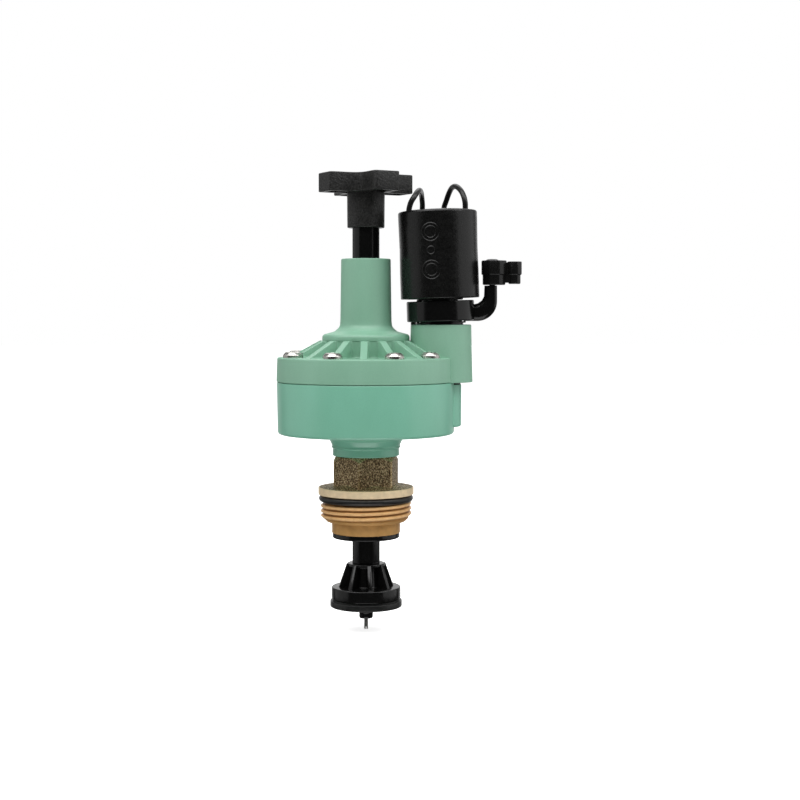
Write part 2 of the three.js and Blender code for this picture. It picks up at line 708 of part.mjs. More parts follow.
function makePin() {
  const pin = rod(PIN_R, PIN_BOTTOM_Z, PIN_TOP_Z, TINY);
  return cut(pin, block(PIN_FORK.width, 4 * PIN_R, 2 * PIN_FORK.depth, 0, 0, PIN_BOTTOM_Z));
}

const ringNut = (r, bore, low, high) => cut(rod(r, low, high, 6), rod(bore, low - 1, high + 1));

const hubLow = DIAPHRAGM_HUB_Z - DIAPHRAGM_THICK / 2;
const lowerPlateTop = hubLow - GAP;
const upperPlateLow = hubLow + DIAPHRAGM_THICK + GAP;
const plateBore = ROD_TOP_R + GAP;
const nutLow = upperPlateLow + PLATE_THICK + GAP;
const nut = ringNut(NUT.r, plateBore, nutLow, nutLow + NUT.height);

piece("piston_rod", makeRod(), BLACK_GLOSSY);
piece("lower_plate", ring(plateBore, PLATE_R, lowerPlateTop - PLATE_THICK, lowerPlateTop), STEEL);
piece("upper_plate", ring(plateBore, PLATE_R, upperPlateLow, upperPlateLow + PLATE_THICK), STEEL);
piece("diaphragm_nut", nut, STEEL);
piece("seat_cage", makeCage(), BLACK_GLOSSY);
piece("seat_washer", makeSeatWasher(), BLACK_RUBBER);
piece("seat_screw", makeSeatScrew(), BLACK_PLASTIC);
piece("metering_pin", makePin(), STEEL);

piece("return_spring", coilSpring(RETURN_SPRING, nutLow, CROWN_ROOF_Z - GAP), STEEL);

// ---- flow control: knob, stem, screw, seal and the pad that bears on the piston ----
function makeKnob() {
  const bars = (length, width, low, high) => {
    const bar = raised(roundedBar(length, width, KNOB_LOBE_CORNER), low, high, 4);
    return join(
      turnedBy(bar, KNOB_LOBE_AZIMUTH - 90),
      turnedBy(bar, KNOB_LOBE_AZIMUTH),
    );
  };
  const body = join(
    bars(2 * KNOB_R, KNOB_LOBE_WIDTH, KNOB_BOTTOM_Z, KNOB_TOP_Z),
    rod(KNOB_VALLEY_R, KNOB_BOTTOM_Z, KNOB_TOP_Z, ROUND),
  );
  const roof = KNOB_TOP_Z - KNOB_PLATE_THICK;
  const hollow = cut(
    bars(2 * (KNOB_R - KNOB_WALL), KNOB_LOBE_WIDTH - 2 * KNOB_WALL, KNOB_BOTTOM_Z - 1, roof),
    rod(HUB_R, HUB_BOTTOM_Z, KNOB_TOP_Z, ROUND),
  );
  const hub = rod(HUB_R, HUB_BOTTOM_Z, KNOB_BOTTOM_Z + 1, ROUND);
  return cut(
    join(cut(body, hollow), hub),
    rod(KNOB_SOCKET.r, HUB_BOTTOM_Z - 1, KNOB_SOCKET.top),
    rod(KNOB_SCREW.shankR + GAP, KNOB_SOCKET.top - 1, KNOB_TOP_Z, TINY),
    rod(KNOB_SCREW.recessR, KNOB_SCREW.seatZ, KNOB_TOP_Z + 1),
  );
}

function makeStem() {
  const { r, top, boreR, boreFloor } = STEM_SPIGOT;
  return turned([
    [0, STEM_TIP.z],
    [STEM_TIP.r, STEM_TIP.z],
    [STEM_TIP.r, STEM_BOTTOM_Z],
    [STEM_R, STEM_BOTTOM_Z],
    [STEM_R, STEM_GROOVE.low],
    [STEM_GROOVE.r, STEM_GROOVE.low],
    [STEM_GROOVE.r, STEM_GROOVE.high],
    [STEM_R, STEM_GROOVE.high],
    [STEM_R, HUB_BOTTOM_Z],
    [r, HUB_BOTTOM_Z],
    [r, top],
    [boreR, top],
    [boreR, boreFloor],
    [0, boreFloor],
  ], SMALL);
}

const { headR, headH, shankR, length } = KNOB_SCREW;
const knobScrew = panHeadScrew(headR, headH, shankR, length).translate([0, 0, KNOB_SCREW.seatZ]);
const pad = turned([
  [0, PAD_BOTTOM_Z],
  [PAD.r - PAD.edge, PAD_BOTTOM_Z],
  [PAD.r, PAD_BOTTOM_Z + PAD.edge],
  [PAD.r, PAD_TOP_Z],
  [PAD.boreR, PAD_TOP_Z],
  [PAD.boreR, PAD_BOTTOM_Z + PAD.floor],
  [0, PAD_BOTTOM_Z + PAD.floor],
], SMALL);

piece("flow_knob", makeKnob(), BLACK_PLASTIC);
piece("flow_stem", makeStem(), BLACK_GLOSSY);
piece("knob_screw", knobScrew, STEEL);
piece("stem_o_ring", oRing(STEM_SEAL, SMALL), BLACK_RUBBER);
piece("thrust_pad", pad, WHITE_PLASTIC);

// ---- solenoid ----
function makeSolenoidAdapter() {
  const a = ADAPTER;
  const body = turned([
    [a.orificeR, a.plugLow],
    [a.plugR, a.plugLow],
    [a.plugR, a.grooveLow],
    [a.grooveR, a.grooveLow],
    [a.grooveR, a.grooveHigh],
    [a.plugR, a.grooveHigh],
    [a.plugR, a.flangeLow],
    [a.flangeR, a.flangeLow],
    [a.flangeR, COLLAR.low - GAP],
    [a.neckR, COLLAR.low - GAP],
    [a.neckR, a.neckTop],
    [a.tubeR, a.neckTop],
    [a.tubeR, a.tubeTop],
    [a.chamberR, a.tubeTop],
    [a.chamberR, a.chamberFloor],
    [a.lipFootR, a.chamberFloor],
    [a.lipR, a.lipTop],
    [a.orificeR, a.lipTop],
    [a.orificeR, a.plugLow],
  ]);
  const supply = (x) => rod(a.orificeR, a.plugLow - 1, a.chamberFloor + 0.7, 6, x);
  return cut(body, supply(a.supplyX), supply(-a.supplyX));
}

function makeCase() {
  const edge = 0.7;
  const lowEdge = 0.3;
  const shell = turned([
    [CASE.cavityR, CASE.low],
    [CASE.r - lowEdge, CASE.low],
    [CASE.r, CASE.low + 0.5],
    [CASE.r, CASE.high - edge],
    [CASE.r - 0.3, CASE.high - 0.3],
    [CASE.r - edge, CASE.high],
    [0, CASE.high],
    [0, CASE.roof],
    [CASE.cavityR, CASE.roof],
    [CASE.cavityR, CASE.low],
  ]);
  const sockets = LEAD_SOCKETS.map(([x, y]) => {
    return rod(WIRE_R + 0.4, LEAD_SOCKET_FLOOR, CASE.high + 1, TINY, x, y);
  });
  return cut(shell, ...sockets);
}

const base = turned([
  [BASE.boreR, COLLAR.high + GAP],
  [BASE.stepR, COLLAR.high + GAP],
  [BASE.stepR, BASE.plateLow],
  [CASE.cavityR - GAP, BASE.plateLow],
  [CASE.cavityR - GAP, BASE.top],
  [BASE.boreR, BASE.top],
  [BASE.boreR, COLLAR.high + GAP],
], HIDDEN);

const windingLow = BOBBIN.low + BOBBIN.flange;
const windingHigh = BOBBIN.high - BOBBIN.flange;
const bobbin = turned([
  [BOBBIN.boreR, BOBBIN.low],
  [BOBBIN.flangeR, BOBBIN.low],
  [BOBBIN.flangeR, windingLow],
  [BOBBIN.hubR, windingLow],
  [BOBBIN.hubR, windingHigh],
  [BOBBIN.flangeR, windingHigh],
  [BOBBIN.flangeR, BOBBIN.high],
  [BOBBIN.boreR, BOBBIN.high],
  [BOBBIN.boreR, BOBBIN.low],
], HIDDEN);
const winding = ring(WINDING.innerR, WINDING.outerR, windingLow + GAP, windingHigh - GAP, HIDDEN);
const coreTube = ring(CORE_TUBE.innerR, CORE_TUBE.outerR, ADAPTER.tubeTop + GAP, CORE_TUBE.top, SMALL);

const plunger = turned([
  [0, PLUNGER.sealRoof],
  [PLUNGER.boreR, PLUNGER.sealRoof],
  [PLUNGER.boreR, PLUNGER.low],
  [PLUNGER.r - PLUNGER.edge, PLUNGER.low],
  [PLUNGER.r, PLUNGER.low + PLUNGER.edge],
  [PLUNGER.r, PLUNGER.top],
  [PLUNGER.boreR, PLUNGER.top],
  [PLUNGER.boreR, PLUNGER.springFloor],
  [0, PLUNGER.springFloor],
], SMALL);
const plungerSeal = rod(PLUNGER_SEAL_R, ADAPTER.lipTop + GAP, PLUNGER.sealRoof - GAP);
const plungerSpring = coilSpring(PLUNGER_SPRING, PLUNGER.springFloor + GAP, POLE.low - GAP);

piece("solenoid_adapter", makeSolenoidAdapter(), BLACK_GLOSSY, solenoidAxis);
piece("solenoid_o_ring", oRing(SOLENOID_SEAL, HIDDEN), BLACK_RUBBER, solenoidAxis);
piece("solenoid_cover", makeCase(), BLACK_PLASTIC, solenoidAxis);
piece("solenoid_base", base, BLACK_PLASTIC, solenoidAxis);
piece("coil_bobbin", bobbin, WHITE_PLASTIC, solenoidAxis);
piece("coil_winding", winding, COPPER, solenoidAxis);
piece("core_tube", coreTube, STEEL, solenoidAxis);
piece("pole_piece", rod(PLUNGER.r, POLE.low, POLE.high), STEEL, solenoidAxis);
piece("plunger", plunger, STEEL, solenoidAxis);
piece("plunger_seal", plungerSeal, BLACK_RUBBER, solenoidAxis);
piece("plunger_spring", plungerSpring, STEEL, solenoidAxis);

// ---- bleed arm, its handle and stem ----
function makeArm() {
  const shape = new THREE.Shape();
  shape.moveTo(ARM.rootX, ARM.bendZ - ARM.bendR);
  shape.lineTo(ARM.bendX, ARM.bendZ - ARM.bendR);
  shape.absarc(ARM.bendX, ARM.bendZ, ARM.bendR, -Math.PI / 2, 0, false);
  shape.lineTo(ARM.right, ARM.top);
  shape.lineTo(ARM.left, ARM.top);
  shape.lineTo(ARM.left, ARM.cornerTop);
  shape.lineTo(ARM.cornerX, ARM.rootTop);
  shape.lineTo(ARM.rootX, ARM.rootTop);
  const arm = slab(shape, -ARM.halfDepth, ARM.halfDepth, 8);
  const collar = leaning(rod(COLLAR.outer, COLLAR.low, COLLAR.high, ROUND));
  const bore = leaning(rod(COLLAR.bore, -5, 15, ROUND));
  const stemBore = rod(BLEED_BORE.r, BLEED_BORE.low, ARM.top + 1, TINY, HANDLE.x);
  const sealSeat = rod(BLEED_BORE.sealR, BLEED_BORE.sealLow, ARM.top + 1, TINY, HANDLE.x);
  return cut(join(collar, arm), bore, stemBore, sealSeat);
}

function makeHandle() {
  const plan = (shrink, low, high) => join(
    rod(HANDLE_HUB.r - shrink, low, high, 24, HANDLE_HUB.x),
    rod(HANDLE_LOBE.r - shrink, low, high, SMALL, HANDLE_LOBE.x),
    block(HANDLE_WEB.length, HANDLE_WEB.width - 2 * shrink, high - low, HANDLE_WEB.x, 0, (low + high) / 2),
  );
  const whole = join(
    plan(HANDLE.step, HANDLE.low, HANDLE.parting + 0.1),
    plan(0, HANDLE.parting, HANDLE.high),
  );
  return cut(whole, rod(BLEED_BORE.r, HANDLE.low - 1, HANDLE.high + 1, TINY, HANDLE.x));
}

const bleedStem = turned([
  [0, BLEED_STEM.low],
  [BLEED_STEM.pointR, BLEED_STEM.low],
  [BLEED_STEM.r, BLEED_STEM.low + BLEED_STEM.point],
  [BLEED_STEM.r, HANDLE.high],
  [BLEED_STEM.headR, HANDLE.high],
  [BLEED_STEM.headR, HANDLE.high + BLEED_STEM.headEdge],
  [BLEED_STEM.headR - 1, HANDLE.high + BLEED_STEM.headH],
  [0, HANDLE.high + BLEED_STEM.headH],
], SMALL, HANDLE.x);

piece("bleed_arm", makeArm(), BLACK_GLOSSY);
piece("bleed_handle", makeHandle(), BLACK_PLASTIC);
piece("bleed_stem", bleedStem, STEEL);
piece("bleed_o_ring", oRing(BLEED_SEAL, SMALL).translate([HANDLE.x, 0, 0]), BLACK_RUBBER);

// ---- leads: each rises from its socket, arches back and runs into the tied hank behind the solenoid ----
const LEAD_ROUTES = {
  lead_wire_left: [
    [18.17, -8.6, 116.7],
    [18.1, -8.6, 118.8],
    [18.9, -9.0, 121.7],
    [20.4, -8.2, 124.3],
    [21.8, -4.6, 126.6],
    [22.5, 0.0, 127.4],
    [22.9, 5.0, 127.5],
    [23.3, 10.0, 126.8],
    [23.6, 14.6, 124.8],
    [23.8, 17.4, 122.0],
    [23.4, 18.5, 118.6],
    [22.4, 18.8, 115.2],
  ],
  lead_wire_right: [
    [41.6, -5.0, 117.5],
    [41.5, -5.0, 119.8],
    [41.4, -5.2, 122.0],
    [40.8, -4.4, 124.7],
    [39.6, -2.2, 127.3],
    [37.8, 1.8, 129.2],
    [36.2, 6.6, 129.0],
    [35.0, 11.0, 126.9],
    [34.0, 14.6, 124.1],
    [33.1, 17.2, 121.4],
    [33.2, 18.1, 118.8],
    [34.0, 18.2, 116.6],
  ],
};

for (const [name, route] of Object.entries(LEAD_ROUTES)) {
  const curve = new THREE.CatmullRomCurve3(route.map((p) => new THREE.Vector3(...p)));
  piece(name, swept(curve, WIRE_R, 8, 14), BLACK_RUBBER);
}

// The hank's outline: round ends and a waist, in the XZ plane about its own middle.
function hankOutline() {
  const { endR, waist, halfRun } = HANK;
  const bend = halfRun / 2;
  const shape = new THREE.Shape();
  shape.moveTo(endR, halfRun);
  shape.absarc(0, halfRun, endR, 0, Math.PI, false);
  shape.bezierCurveTo(-endR, bend, -waist, bend, -waist, 0);
  shape.bezierCurveTo(-waist, -bend, -endR, -bend, -endR, -halfRun);
  shape.absarc(0, -halfRun, endR, Math.PI, 2 * Math.PI, false);
  shape.bezierCurveTo(endR, -bend, waist, -bend, waist, 0);
  shape.bezierCurveTo(waist, bend, endR, bend, endR, halfRun);
  return shape;
}

// Bare ends of the leads: the left lead's points down below the tie, the right one's up above it.
const BARE_R = 0.55;
const BARE_Y = 30.2;
const BARE_ENDS = {
  left: { x: HANK.x - 5.4, low: 76.9, high: 83.9 },
  right: { x: HANK.x - 3.0, low: 102.0, high: 109.0 },
};

// Each bare end lies in a notch of the hank's back that runs out at the nearer round end.
function makeHank() {
  const whole = slab(hankOutline(), HANK.front, HANK.back, 6).translate([HANK.x, 0, HANK.z]);
  const [width, depth, height] = [2.8, 3.0, 40];
  const notches = Object.values(BARE_ENDS).map(({ x, low, high }) => {
    const up = low > HANK.z;
    const z = up ? low - GAP + height / 2 : high + GAP - height / 2;
    return block(width, depth, height, x, HANK.back - depth / 2 + 0.1, z);
  });
  return cut(whole, ...notches);
}

function makeTie() {
  const [wall, height] = [1.0, 3.4];
  const width = 2 * (HANK.waist + 0.35);
  const depth = HANK.back - HANK.front + 0.6;
  const outer = raised(roundedBar(width + 2 * wall, depth + 2 * wall, 2.0), 0, height, 3);
  const inner = raised(roundedBar(width, depth, 1.0), -1, height + 1, 3);
  const middleY = (HANK.front + HANK.back) / 2;
  return cut(outer, inner).translate([HANK.x, middleY, HANK.z - height / 2]);
}

piece("lead_hank", makeHank(), BLACK_RUBBER);
piece("hank_tie", makeTie(), BLACK_PLASTIC);
for (const [side, { x, low, high }] of Object.entries(BARE_ENDS)) {
  piece(`bare_end_${side}`, rod(BARE_R, low, high, TINY, x, BARE_Y), COPPER);
}

export default root;
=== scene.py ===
import math

import bmesh
import bpy
import numpy as np
from mathutils import Matrix, Vector


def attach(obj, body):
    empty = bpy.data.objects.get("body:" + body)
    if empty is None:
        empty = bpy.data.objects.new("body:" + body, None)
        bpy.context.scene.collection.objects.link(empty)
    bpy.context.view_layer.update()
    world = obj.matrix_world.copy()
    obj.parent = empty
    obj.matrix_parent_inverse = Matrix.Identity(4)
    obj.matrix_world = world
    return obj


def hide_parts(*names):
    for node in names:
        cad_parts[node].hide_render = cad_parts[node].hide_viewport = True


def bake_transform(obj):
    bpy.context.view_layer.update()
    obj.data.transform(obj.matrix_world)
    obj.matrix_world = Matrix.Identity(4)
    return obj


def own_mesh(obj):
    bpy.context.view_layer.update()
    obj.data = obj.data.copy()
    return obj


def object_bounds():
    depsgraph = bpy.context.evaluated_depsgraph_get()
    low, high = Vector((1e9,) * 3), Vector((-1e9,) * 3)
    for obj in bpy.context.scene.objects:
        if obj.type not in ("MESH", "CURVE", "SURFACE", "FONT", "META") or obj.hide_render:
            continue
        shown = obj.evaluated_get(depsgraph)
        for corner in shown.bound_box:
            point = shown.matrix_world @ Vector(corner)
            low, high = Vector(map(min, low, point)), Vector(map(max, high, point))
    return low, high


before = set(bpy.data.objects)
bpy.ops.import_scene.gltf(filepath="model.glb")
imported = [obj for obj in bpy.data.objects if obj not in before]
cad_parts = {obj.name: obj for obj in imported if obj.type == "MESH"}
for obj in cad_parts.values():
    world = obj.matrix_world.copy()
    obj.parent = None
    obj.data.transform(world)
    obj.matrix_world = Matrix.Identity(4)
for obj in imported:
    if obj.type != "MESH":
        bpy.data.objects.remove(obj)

CAD_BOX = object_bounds()

# Sizes below are in millimetres, in the part's own frame. An azimuth is counted in degrees from the
# front (-Y) towards +X. Pieces are made in millimetres and scaled to metres when they are finished.
MM = 0.001
ROUND = 160  # facets round a large turned piece
SMALL = 72  # round a small one

# ---- camera: about as high as the column's top, a little to the valve's right ----
camera = bpy.data.objects.new("camera", bpy.data.cameras.new("camera"))
bpy.context.scene.collection.objects.link(camera)
bpy.context.scene.camera = camera
camera.data.lens = 66.96
camera.data.sensor_width = 36.0
camera.data.clip_start = 0.01
camera.data.shift_y = -0.0667
camera.location = Vector((20.0, -625.0, 75.0)) * MM
AIM = Vector((14.3, 0.0, 61.9)) * MM
camera.rotation_mode = "QUATERNION"
camera.rotation_quaternion = (AIM - camera.location).to_track_quat("-Z", "Y")


# ---- colours and procedural materials ----
def srgb(red, green, blue):
    """Linear colour from 0-255 display values."""
    def linear(value):
        value /= 255
        return value / 12.92 if value <= 0.04045 else ((value + 0.055) / 1.055) ** 2.4

    return (linear(red), linear(green), linear(blue), 1.0)


class Look:
    """A material built from nodes, on coordinates in metres."""

    def __init__(self, name, metallic=0.0, specular=0.5):
        self.material = bpy.data.materials.new(name)
        self.material.use_nodes = True
        tree = self.material.node_tree
        self.nodes, self.links = tree.nodes, tree.links
        self.shader = self.nodes["Principled BSDF"]
        self.shader.inputs["Metallic"].default_value = metallic
        self.shader.inputs["Specular IOR Level"].default_value = specular
        self.place = self.nodes.new("ShaderNodeTexCoord").outputs["Object"]
        self.height = None

    def noise(self, size, detail, stretch=(1, 1, 1)):
        """Noise whose features are about size millimetres, stretched along each axis."""
        scale = self.nodes.new("ShaderNodeMapping")
        scale.inputs["Scale"].default_value = [1 / s for s in stretch]
        self.links.new(self.place, scale.inputs["Vector"])
        texture = self.nodes.new("ShaderNodeTexNoise")
        texture.inputs["Scale"].default_value = 1 / (size * MM)
        texture.inputs["Detail"].default_value = detail
        self.links.new(scale.outputs["Vector"], texture.inputs["Vector"])
        return texture.outputs["Fac"]

    def ramp(self, factor, *stops):
        ramp = self.nodes.new("ShaderNodeValToRGB")
        elements = ramp.color_ramp.elements
        while len(elements) < len(stops):
            elements.new(0.5)
        for element, (at, colour) in zip(elements, stops):
            element.position, element.color = at, colour
        self.links.new(factor, ramp.inputs["Fac"])
        return ramp.outputs["Color"]

    def range(self, factor, low, high, start=0.3, end=0.7):
        mapped = self.nodes.new("ShaderNodeMapRange")
        values = {"From Min": start, "From Max": end, "To Min": low, "To Max": high}
        for key, value in values.items():
            mapped.inputs[key].default_value = value
        self.links.new(factor, mapped.inputs["Value"])
        return mapped.outputs["Result"]

    def times(self, first, second):
        mixed = self.nodes.new("ShaderNodeMix")
        mixed.data_type, mixed.blend_type = "RGBA", "MULTIPLY"
        mixed.inputs["Factor"].default_value = 1.0
        self.links.new(first, mixed.inputs["A"])
        self.links.new(second, mixed.inputs["B"])
        return mixed.outputs["Result"]

    def color(self, socket):
        self.links.new(socket, self.shader.inputs["Base Color"])

    def rough(self, socket):
        self.links.new(socket, self.shader.inputs["Roughness"])

    def bump(self, factor, depth, strength):
        """Relief of depth millimetres, over any relief added before it."""
        bump = self.nodes.new("ShaderNodeBump")
        bump.inputs["Distance"].default_value = depth * MM
        bump.inputs["Strength"].default_value = strength
        self.links.new(factor, bump.inputs["Height"])
        if self.height is not None:
            self.links.new(self.height, bump.inputs["Normal"])
        self.height = bump.outputs["Normal"]
        self.links.new(self.height, self.shader.inputs["Normal"])


GREY = {level: (level, level, level, 1.0) for level in (0.8, 0.86, 0.94, 1.0)}


def moulded_green(name, color, deeper, rough, shine):
    """Glass-filled nylon: a fine matt grain, faint flow marks and slow colour drift."""
    look = Look(name, specular=shine)
    look.color(look.times(
        look.ramp(look.noise(9.0, 3, (1, 1, 2.5)), (0.3, deeper), (0.7, color)),
        look.ramp(look.noise(0.35, 2), (0.35, GREY[0.94]), (0.65, GREY[1.0])),
    ))
    look.rough(look.range(look.noise(7.0, 2), rough - 0.02, rough + 0.03))
    look.bump(look.noise(0.5, 2), 0.012, 0.5)
    return look.material


def moulded_black(name, level, rough, grain, depth, wear_and_painted_light):
    """Black plastic: grain is the size of its texture; the last argument is how much lighter its worn high
    spots are.
    """
    look = Look(name)
    dark = srgb(level, level, level * 0.97)
    light = srgb(level * wear_and_painted_light, level * wear_and_painted_light, level * wear_and_painted_light * 0.97)
    texture = look.noise(grain, 3)
    look.color(look.ramp(texture, (0.35, dark), (0.7, light)))
    look.rough(look.range(look.noise(grain * 2.3, 2), rough - 0.05, rough + 0.07))
    look.bump(look.noise(5.0, 1), 0.04, 0.3)
    look.bump(texture, depth, 0.8)
    return look.material


def rubber():
    look = Look("rubber")
    dust = look.noise(1.6, 4)
    look.color(look.ramp(dust, (0.35, srgb(15, 16, 16)), (0.75, srgb(34, 35, 34))))
    look.rough(look.range(look.noise(0.5, 2), 0.28, 0.42))
    look.bump(look.noise(0.2, 2), 0.01, 0.6)
    return look.material


def cast_brass(name, dark, middle, bright):
    """Sand-cast brass: dull brown skin with a coarse grain that catches light in specks."""
    look = Look(name, metallic=0.6)
    grain = look.noise(0.55, 3)
    look.color(look.times(
        look.ramp(grain, (0.34, srgb(*dark)), (0.5, srgb(*middle)), (0.64, srgb(*bright))),
        look.ramp(look.noise(5.0, 3), (0.3, GREY[0.8]), (0.7, GREY[1.0])),
    ))
    look.rough(look.range(grain, 0.64, 0.42))
    look.bump(look.noise(1.8, 2), 0.14, 0.5)
    look.bump(grain, 0.08, 0.8)
    return look.material


def turned_brass():
    """Turned brass: fine rings spread its light up and down. Painted shade and tarnish darken the thread's
    roots; a painted highlight lightens its crests and the rim, which stands out, most.
    """
    root_r, rim_r = 17.6, 20.2
    look = Look("brass_turned", metallic=0.36)
    across = look.nodes.new("ShaderNodeVectorMath")
    across.operation = "MULTIPLY"
    across.inputs[1].default_value = (1, 1, 0)
    look.links.new(look.place, across.inputs[0])
    radius = look.nodes.new("ShaderNodeVectorMath")
    radius.operation = "LENGTH"
    look.links.new(across.outputs["Vector"], radius.inputs[0])
    # painted light by radius: painted shade with some tarnish in the thread's roots, painted highlight on the
    # crests and the rim
    wear_and_painted_light = look.range(radius.outputs["Value"], 0.0, 1.0, root_r * MM, rim_r * MM)
    look.color(look.times(
        look.ramp(wear_and_painted_light, (0.0, srgb(206, 158, 94)), (0.2, srgb(166, 112, 56)), (0.5, srgb(246, 196, 132)),
                  (0.97, srgb(255, 230, 190))),
        look.ramp(look.noise(2.2, 3), (0.32, GREY[0.86]), (0.66, GREY[1.0])),
    ))
    look.rough(look.range(look.noise(1.2, 3), 0.42, 0.54))
    look.shader.inputs["Anisotropic"].default_value = 0.85
    look.shader.inputs["Anisotropic Rotation"].default_value = 0.25
    look.bump(look.noise(2.0, 1, (20, 20, 0.09)), 0.03, 0.6)
    return look.material


def metal(name, color, darker, rough):
    look = Look(name, metallic=1.0)
    look.color(look.ramp(look.noise(1.4, 3), (0.3, darker), (0.7, color)))
    look.rough(look.range(look.noise(0.9, 3), rough - 0.06, rough + 0.08))
    look.bump(look.noise(0.15, 2, (6, 1, 1)), 0.006, 0.5)
    return look.material


def pale_plastic():
    look = Look("natural_plastic")
    look.color(look.ramp(look.noise(4.0, 2), (0.3, srgb(208, 205, 194)), (0.7, srgb(224, 221, 211))))
    look.rough(look.range(look.noise(1.0, 2), 0.4, 0.52))
    look.bump(look.noise(0.3, 2), 0.01, 0.5)
    return look.material


COVER = moulded_green("green_cover", srgb(134, 183, 157), srgb(127, 177, 150), 0.46, 0.85)
BODY = moulded_green("green_body", srgb(124, 190, 164), srgb(120, 186, 159), 0.31, 0.95)
KNOB = moulded_black("black_plastic", 16, 0.37, 0.7, 0.3, 2.7)
CASE = moulded_black("black_grained", 6, 0.26, 0.8, 0.06, 2.8)
GLOSS = moulded_black("black_gloss", 7, 0.17, 0.5, 0.003, 1.3)
HANDLE = moulded_black("black_handle", 12, 0.22, 0.5, 0.006, 1.4)
LEAD = moulded_black("lead_insulation", 16, 0.3, 0.8, 0.012, 1.3)
TIE = moulded_black("tie_nylon", 22, 0.35, 0.6, 0.006, 1.2)
RUBBER = rubber()
CAST = cast_brass("brass_cast", (72, 54, 36), (146, 119, 84), (240, 214, 170))
# a lighter copy of the cast brass for the hexagon's edges and chamfers: a painted highlight
EDGE_HIGHLIGHT_BRASS = cast_brass("brass_edge_highlight", (120, 96, 62), (206, 174, 126), (255, 232, 190))
TURNED = turned_brass()
STEEL = metal("steel", srgb(226, 224, 218), srgb(200, 198, 192), 0.27)
PIN = metal("pin_steel", srgb(150, 150, 146), srgb(112, 111, 108), 0.36)
SPRING = metal("spring_steel", srgb(188, 188, 186), srgb(160, 160, 158), 0.3)
COPPER = metal("copper", srgb(214, 132, 84), srgb(184, 100, 60), 0.3)
NATURAL = pale_plastic()


# ---- shapes: each function gives a mesh object in millimetres ----
def shown(bm, name="part"):
    mesh = bpy.data.meshes.new(name)
    bmesh.ops.recalc_face_normals(bm, faces=bm.faces)
    bm.to_mesh(mesh)
    bm.free()
    piece = bpy.data.objects.new(name, mesh)
    bpy.context.scene.collection.objects.link(piece)
    return piece


def rounded(corners, closed):
    """Points of a profile. A corner given as (r, z, radius) becomes an arc."""
    points = []
    count = len(corners)
    for i, corner in enumerate(corners):
        here = np.array(corner[:2], float)
        is_end = not closed and i in (0, count - 1)
        if len(corner) == 2 or is_end:
            points.append(here)
            continue
        sides = [np.array(corners[j % count][:2], float) - here for j in (i - 1, i + 1)]
        lengths = [np.linalg.norm(side) for side in sides]
        to_before, to_after = (side / length for side, length in zip(sides, lengths))
        half = math.acos(np.clip(to_before @ to_after, -1, 1)) / 2
        reach = min(corner[2] / math.tan(half), 0.49 * min(lengths))
        radius = reach * math.tan(half)
        middle = (to_before + to_after) / np.linalg.norm(to_before + to_after)
        centre = here + middle * radius / math.sin(half)
        start, end = here + to_before * reach - centre, here + to_after * reach - centre
        first = math.atan2(start[1], start[0])
        sweep = math.remainder(math.atan2(end[1], end[0]) - first, math.tau)
        steps = max(2, math.ceil(abs(sweep) / math.radians(15)))
        for k in range(steps + 1):
            angle = first + sweep * k / steps
            points.append(centre + radius * np.array([math.cos(angle), math.sin(angle)]))
    return points


def skin(rings, closed=False, caps=True):
    """Closed surface through rings of equally many points, or of one point at an end."""
    bm = bmesh.new()
    made = [[bm.verts.new(tuple(map(float, p))) for p in ring] for ring in rings]
    pairs = list(zip(made, made[1:])) + ([(made[-1], made[0])] if closed else [])
    for low, high in pairs:
        for k in range(max(len(low), len(high))):
            n = k + 1
            corners = [low[k % len(low)], low[n % len(low)], high[n % len(high)], high[k % len(high)]]
            corners = list(dict.fromkeys(corners))
            if len(corners) > 2:
                bm.faces.new(corners)
    if caps and not closed:
        for ring in (made[0], made[-1]):
            if len(ring) > 2:
                bm.faces.new(ring)
    return shown(bm)


def circle(r, z, x=0.0, y=0.0, facets=ROUND):
    angles = np.arange(facets) * math.tau / facets
    return [(x + r * math.cos(a), y + r * math.sin(a), z) for a in angles]


def turned(corners, closed=True, facets=ROUND, x=0.0, y=0.0):
    """A profile turned about the vertical through (x, y). An open profile starts and ends at r = 0."""
    rings = []
    for r, z in rounded(corners, closed):
        rings.append(circle(r, z, x, y, facets) if r > 1e-6 else [(x, y, z)])
    return skin(rings, closed, caps=False)


def post(r, low, high, x=0.0, y=0.0, facets=SMALL, edge=0.0):
    return turned([(0, low), (r, low, edge), (r, high, edge), (0, high)], False, facets, x, y)


def o_ring(r, z, section):
    sides = 20
    rings = []
    for k in range(sides):
        a = k * math.tau / sides
        rings.append(circle(r + section / 2 * math.cos(a), z + section / 2 * math.sin(a)))
    return skin(rings, closed=True)


def tube(points, section):
    """A section of (side, up) points carried along a path, with its ends closed."""
    points = np.array(points, float)
    along = np.gradient(points, axis=0)
    along /= np.linalg.norm(along, axis=1)[:, None]
    side = np.cross(along[0], [0.3, 0.2, 1.0])
    rings = []
    for point, ahead in zip(points, along):
        side -= ahead * (side @ ahead)
        side /= np.linalg.norm(side)
        up = np.cross(ahead, side)
        rings.append([point + a * side + b * up for a, b in section])
    return skin(rings)


def disc_section(r, sides):
    angles = np.arange(sides) * math.tau / sides
    return [(r * math.cos(a), r * math.sin(a)) for a in angles]


def prism(outline, levels):
    """An outline(inset) of (x, y) points raised through levels of (z, inset)."""
    return skin([[(x, y, z) for x, y in outline(inset)] for z, inset in levels])


def edge_levels(low, high, edge):
    """Levels of a prism whose top and bottom edges are rounded by edge."""
    steps = 4
    turn = [math.pi / 2 * k / steps for k in range(steps + 1)]
    bottom = [(low + edge * (1 - math.sin(a)), edge * (1 - math.cos(a))) for a in reversed(turn)]
    top = [(high - edge * (1 - math.sin(a)), edge * (1 - math.cos(a))) for a in turn]
    return bottom + top


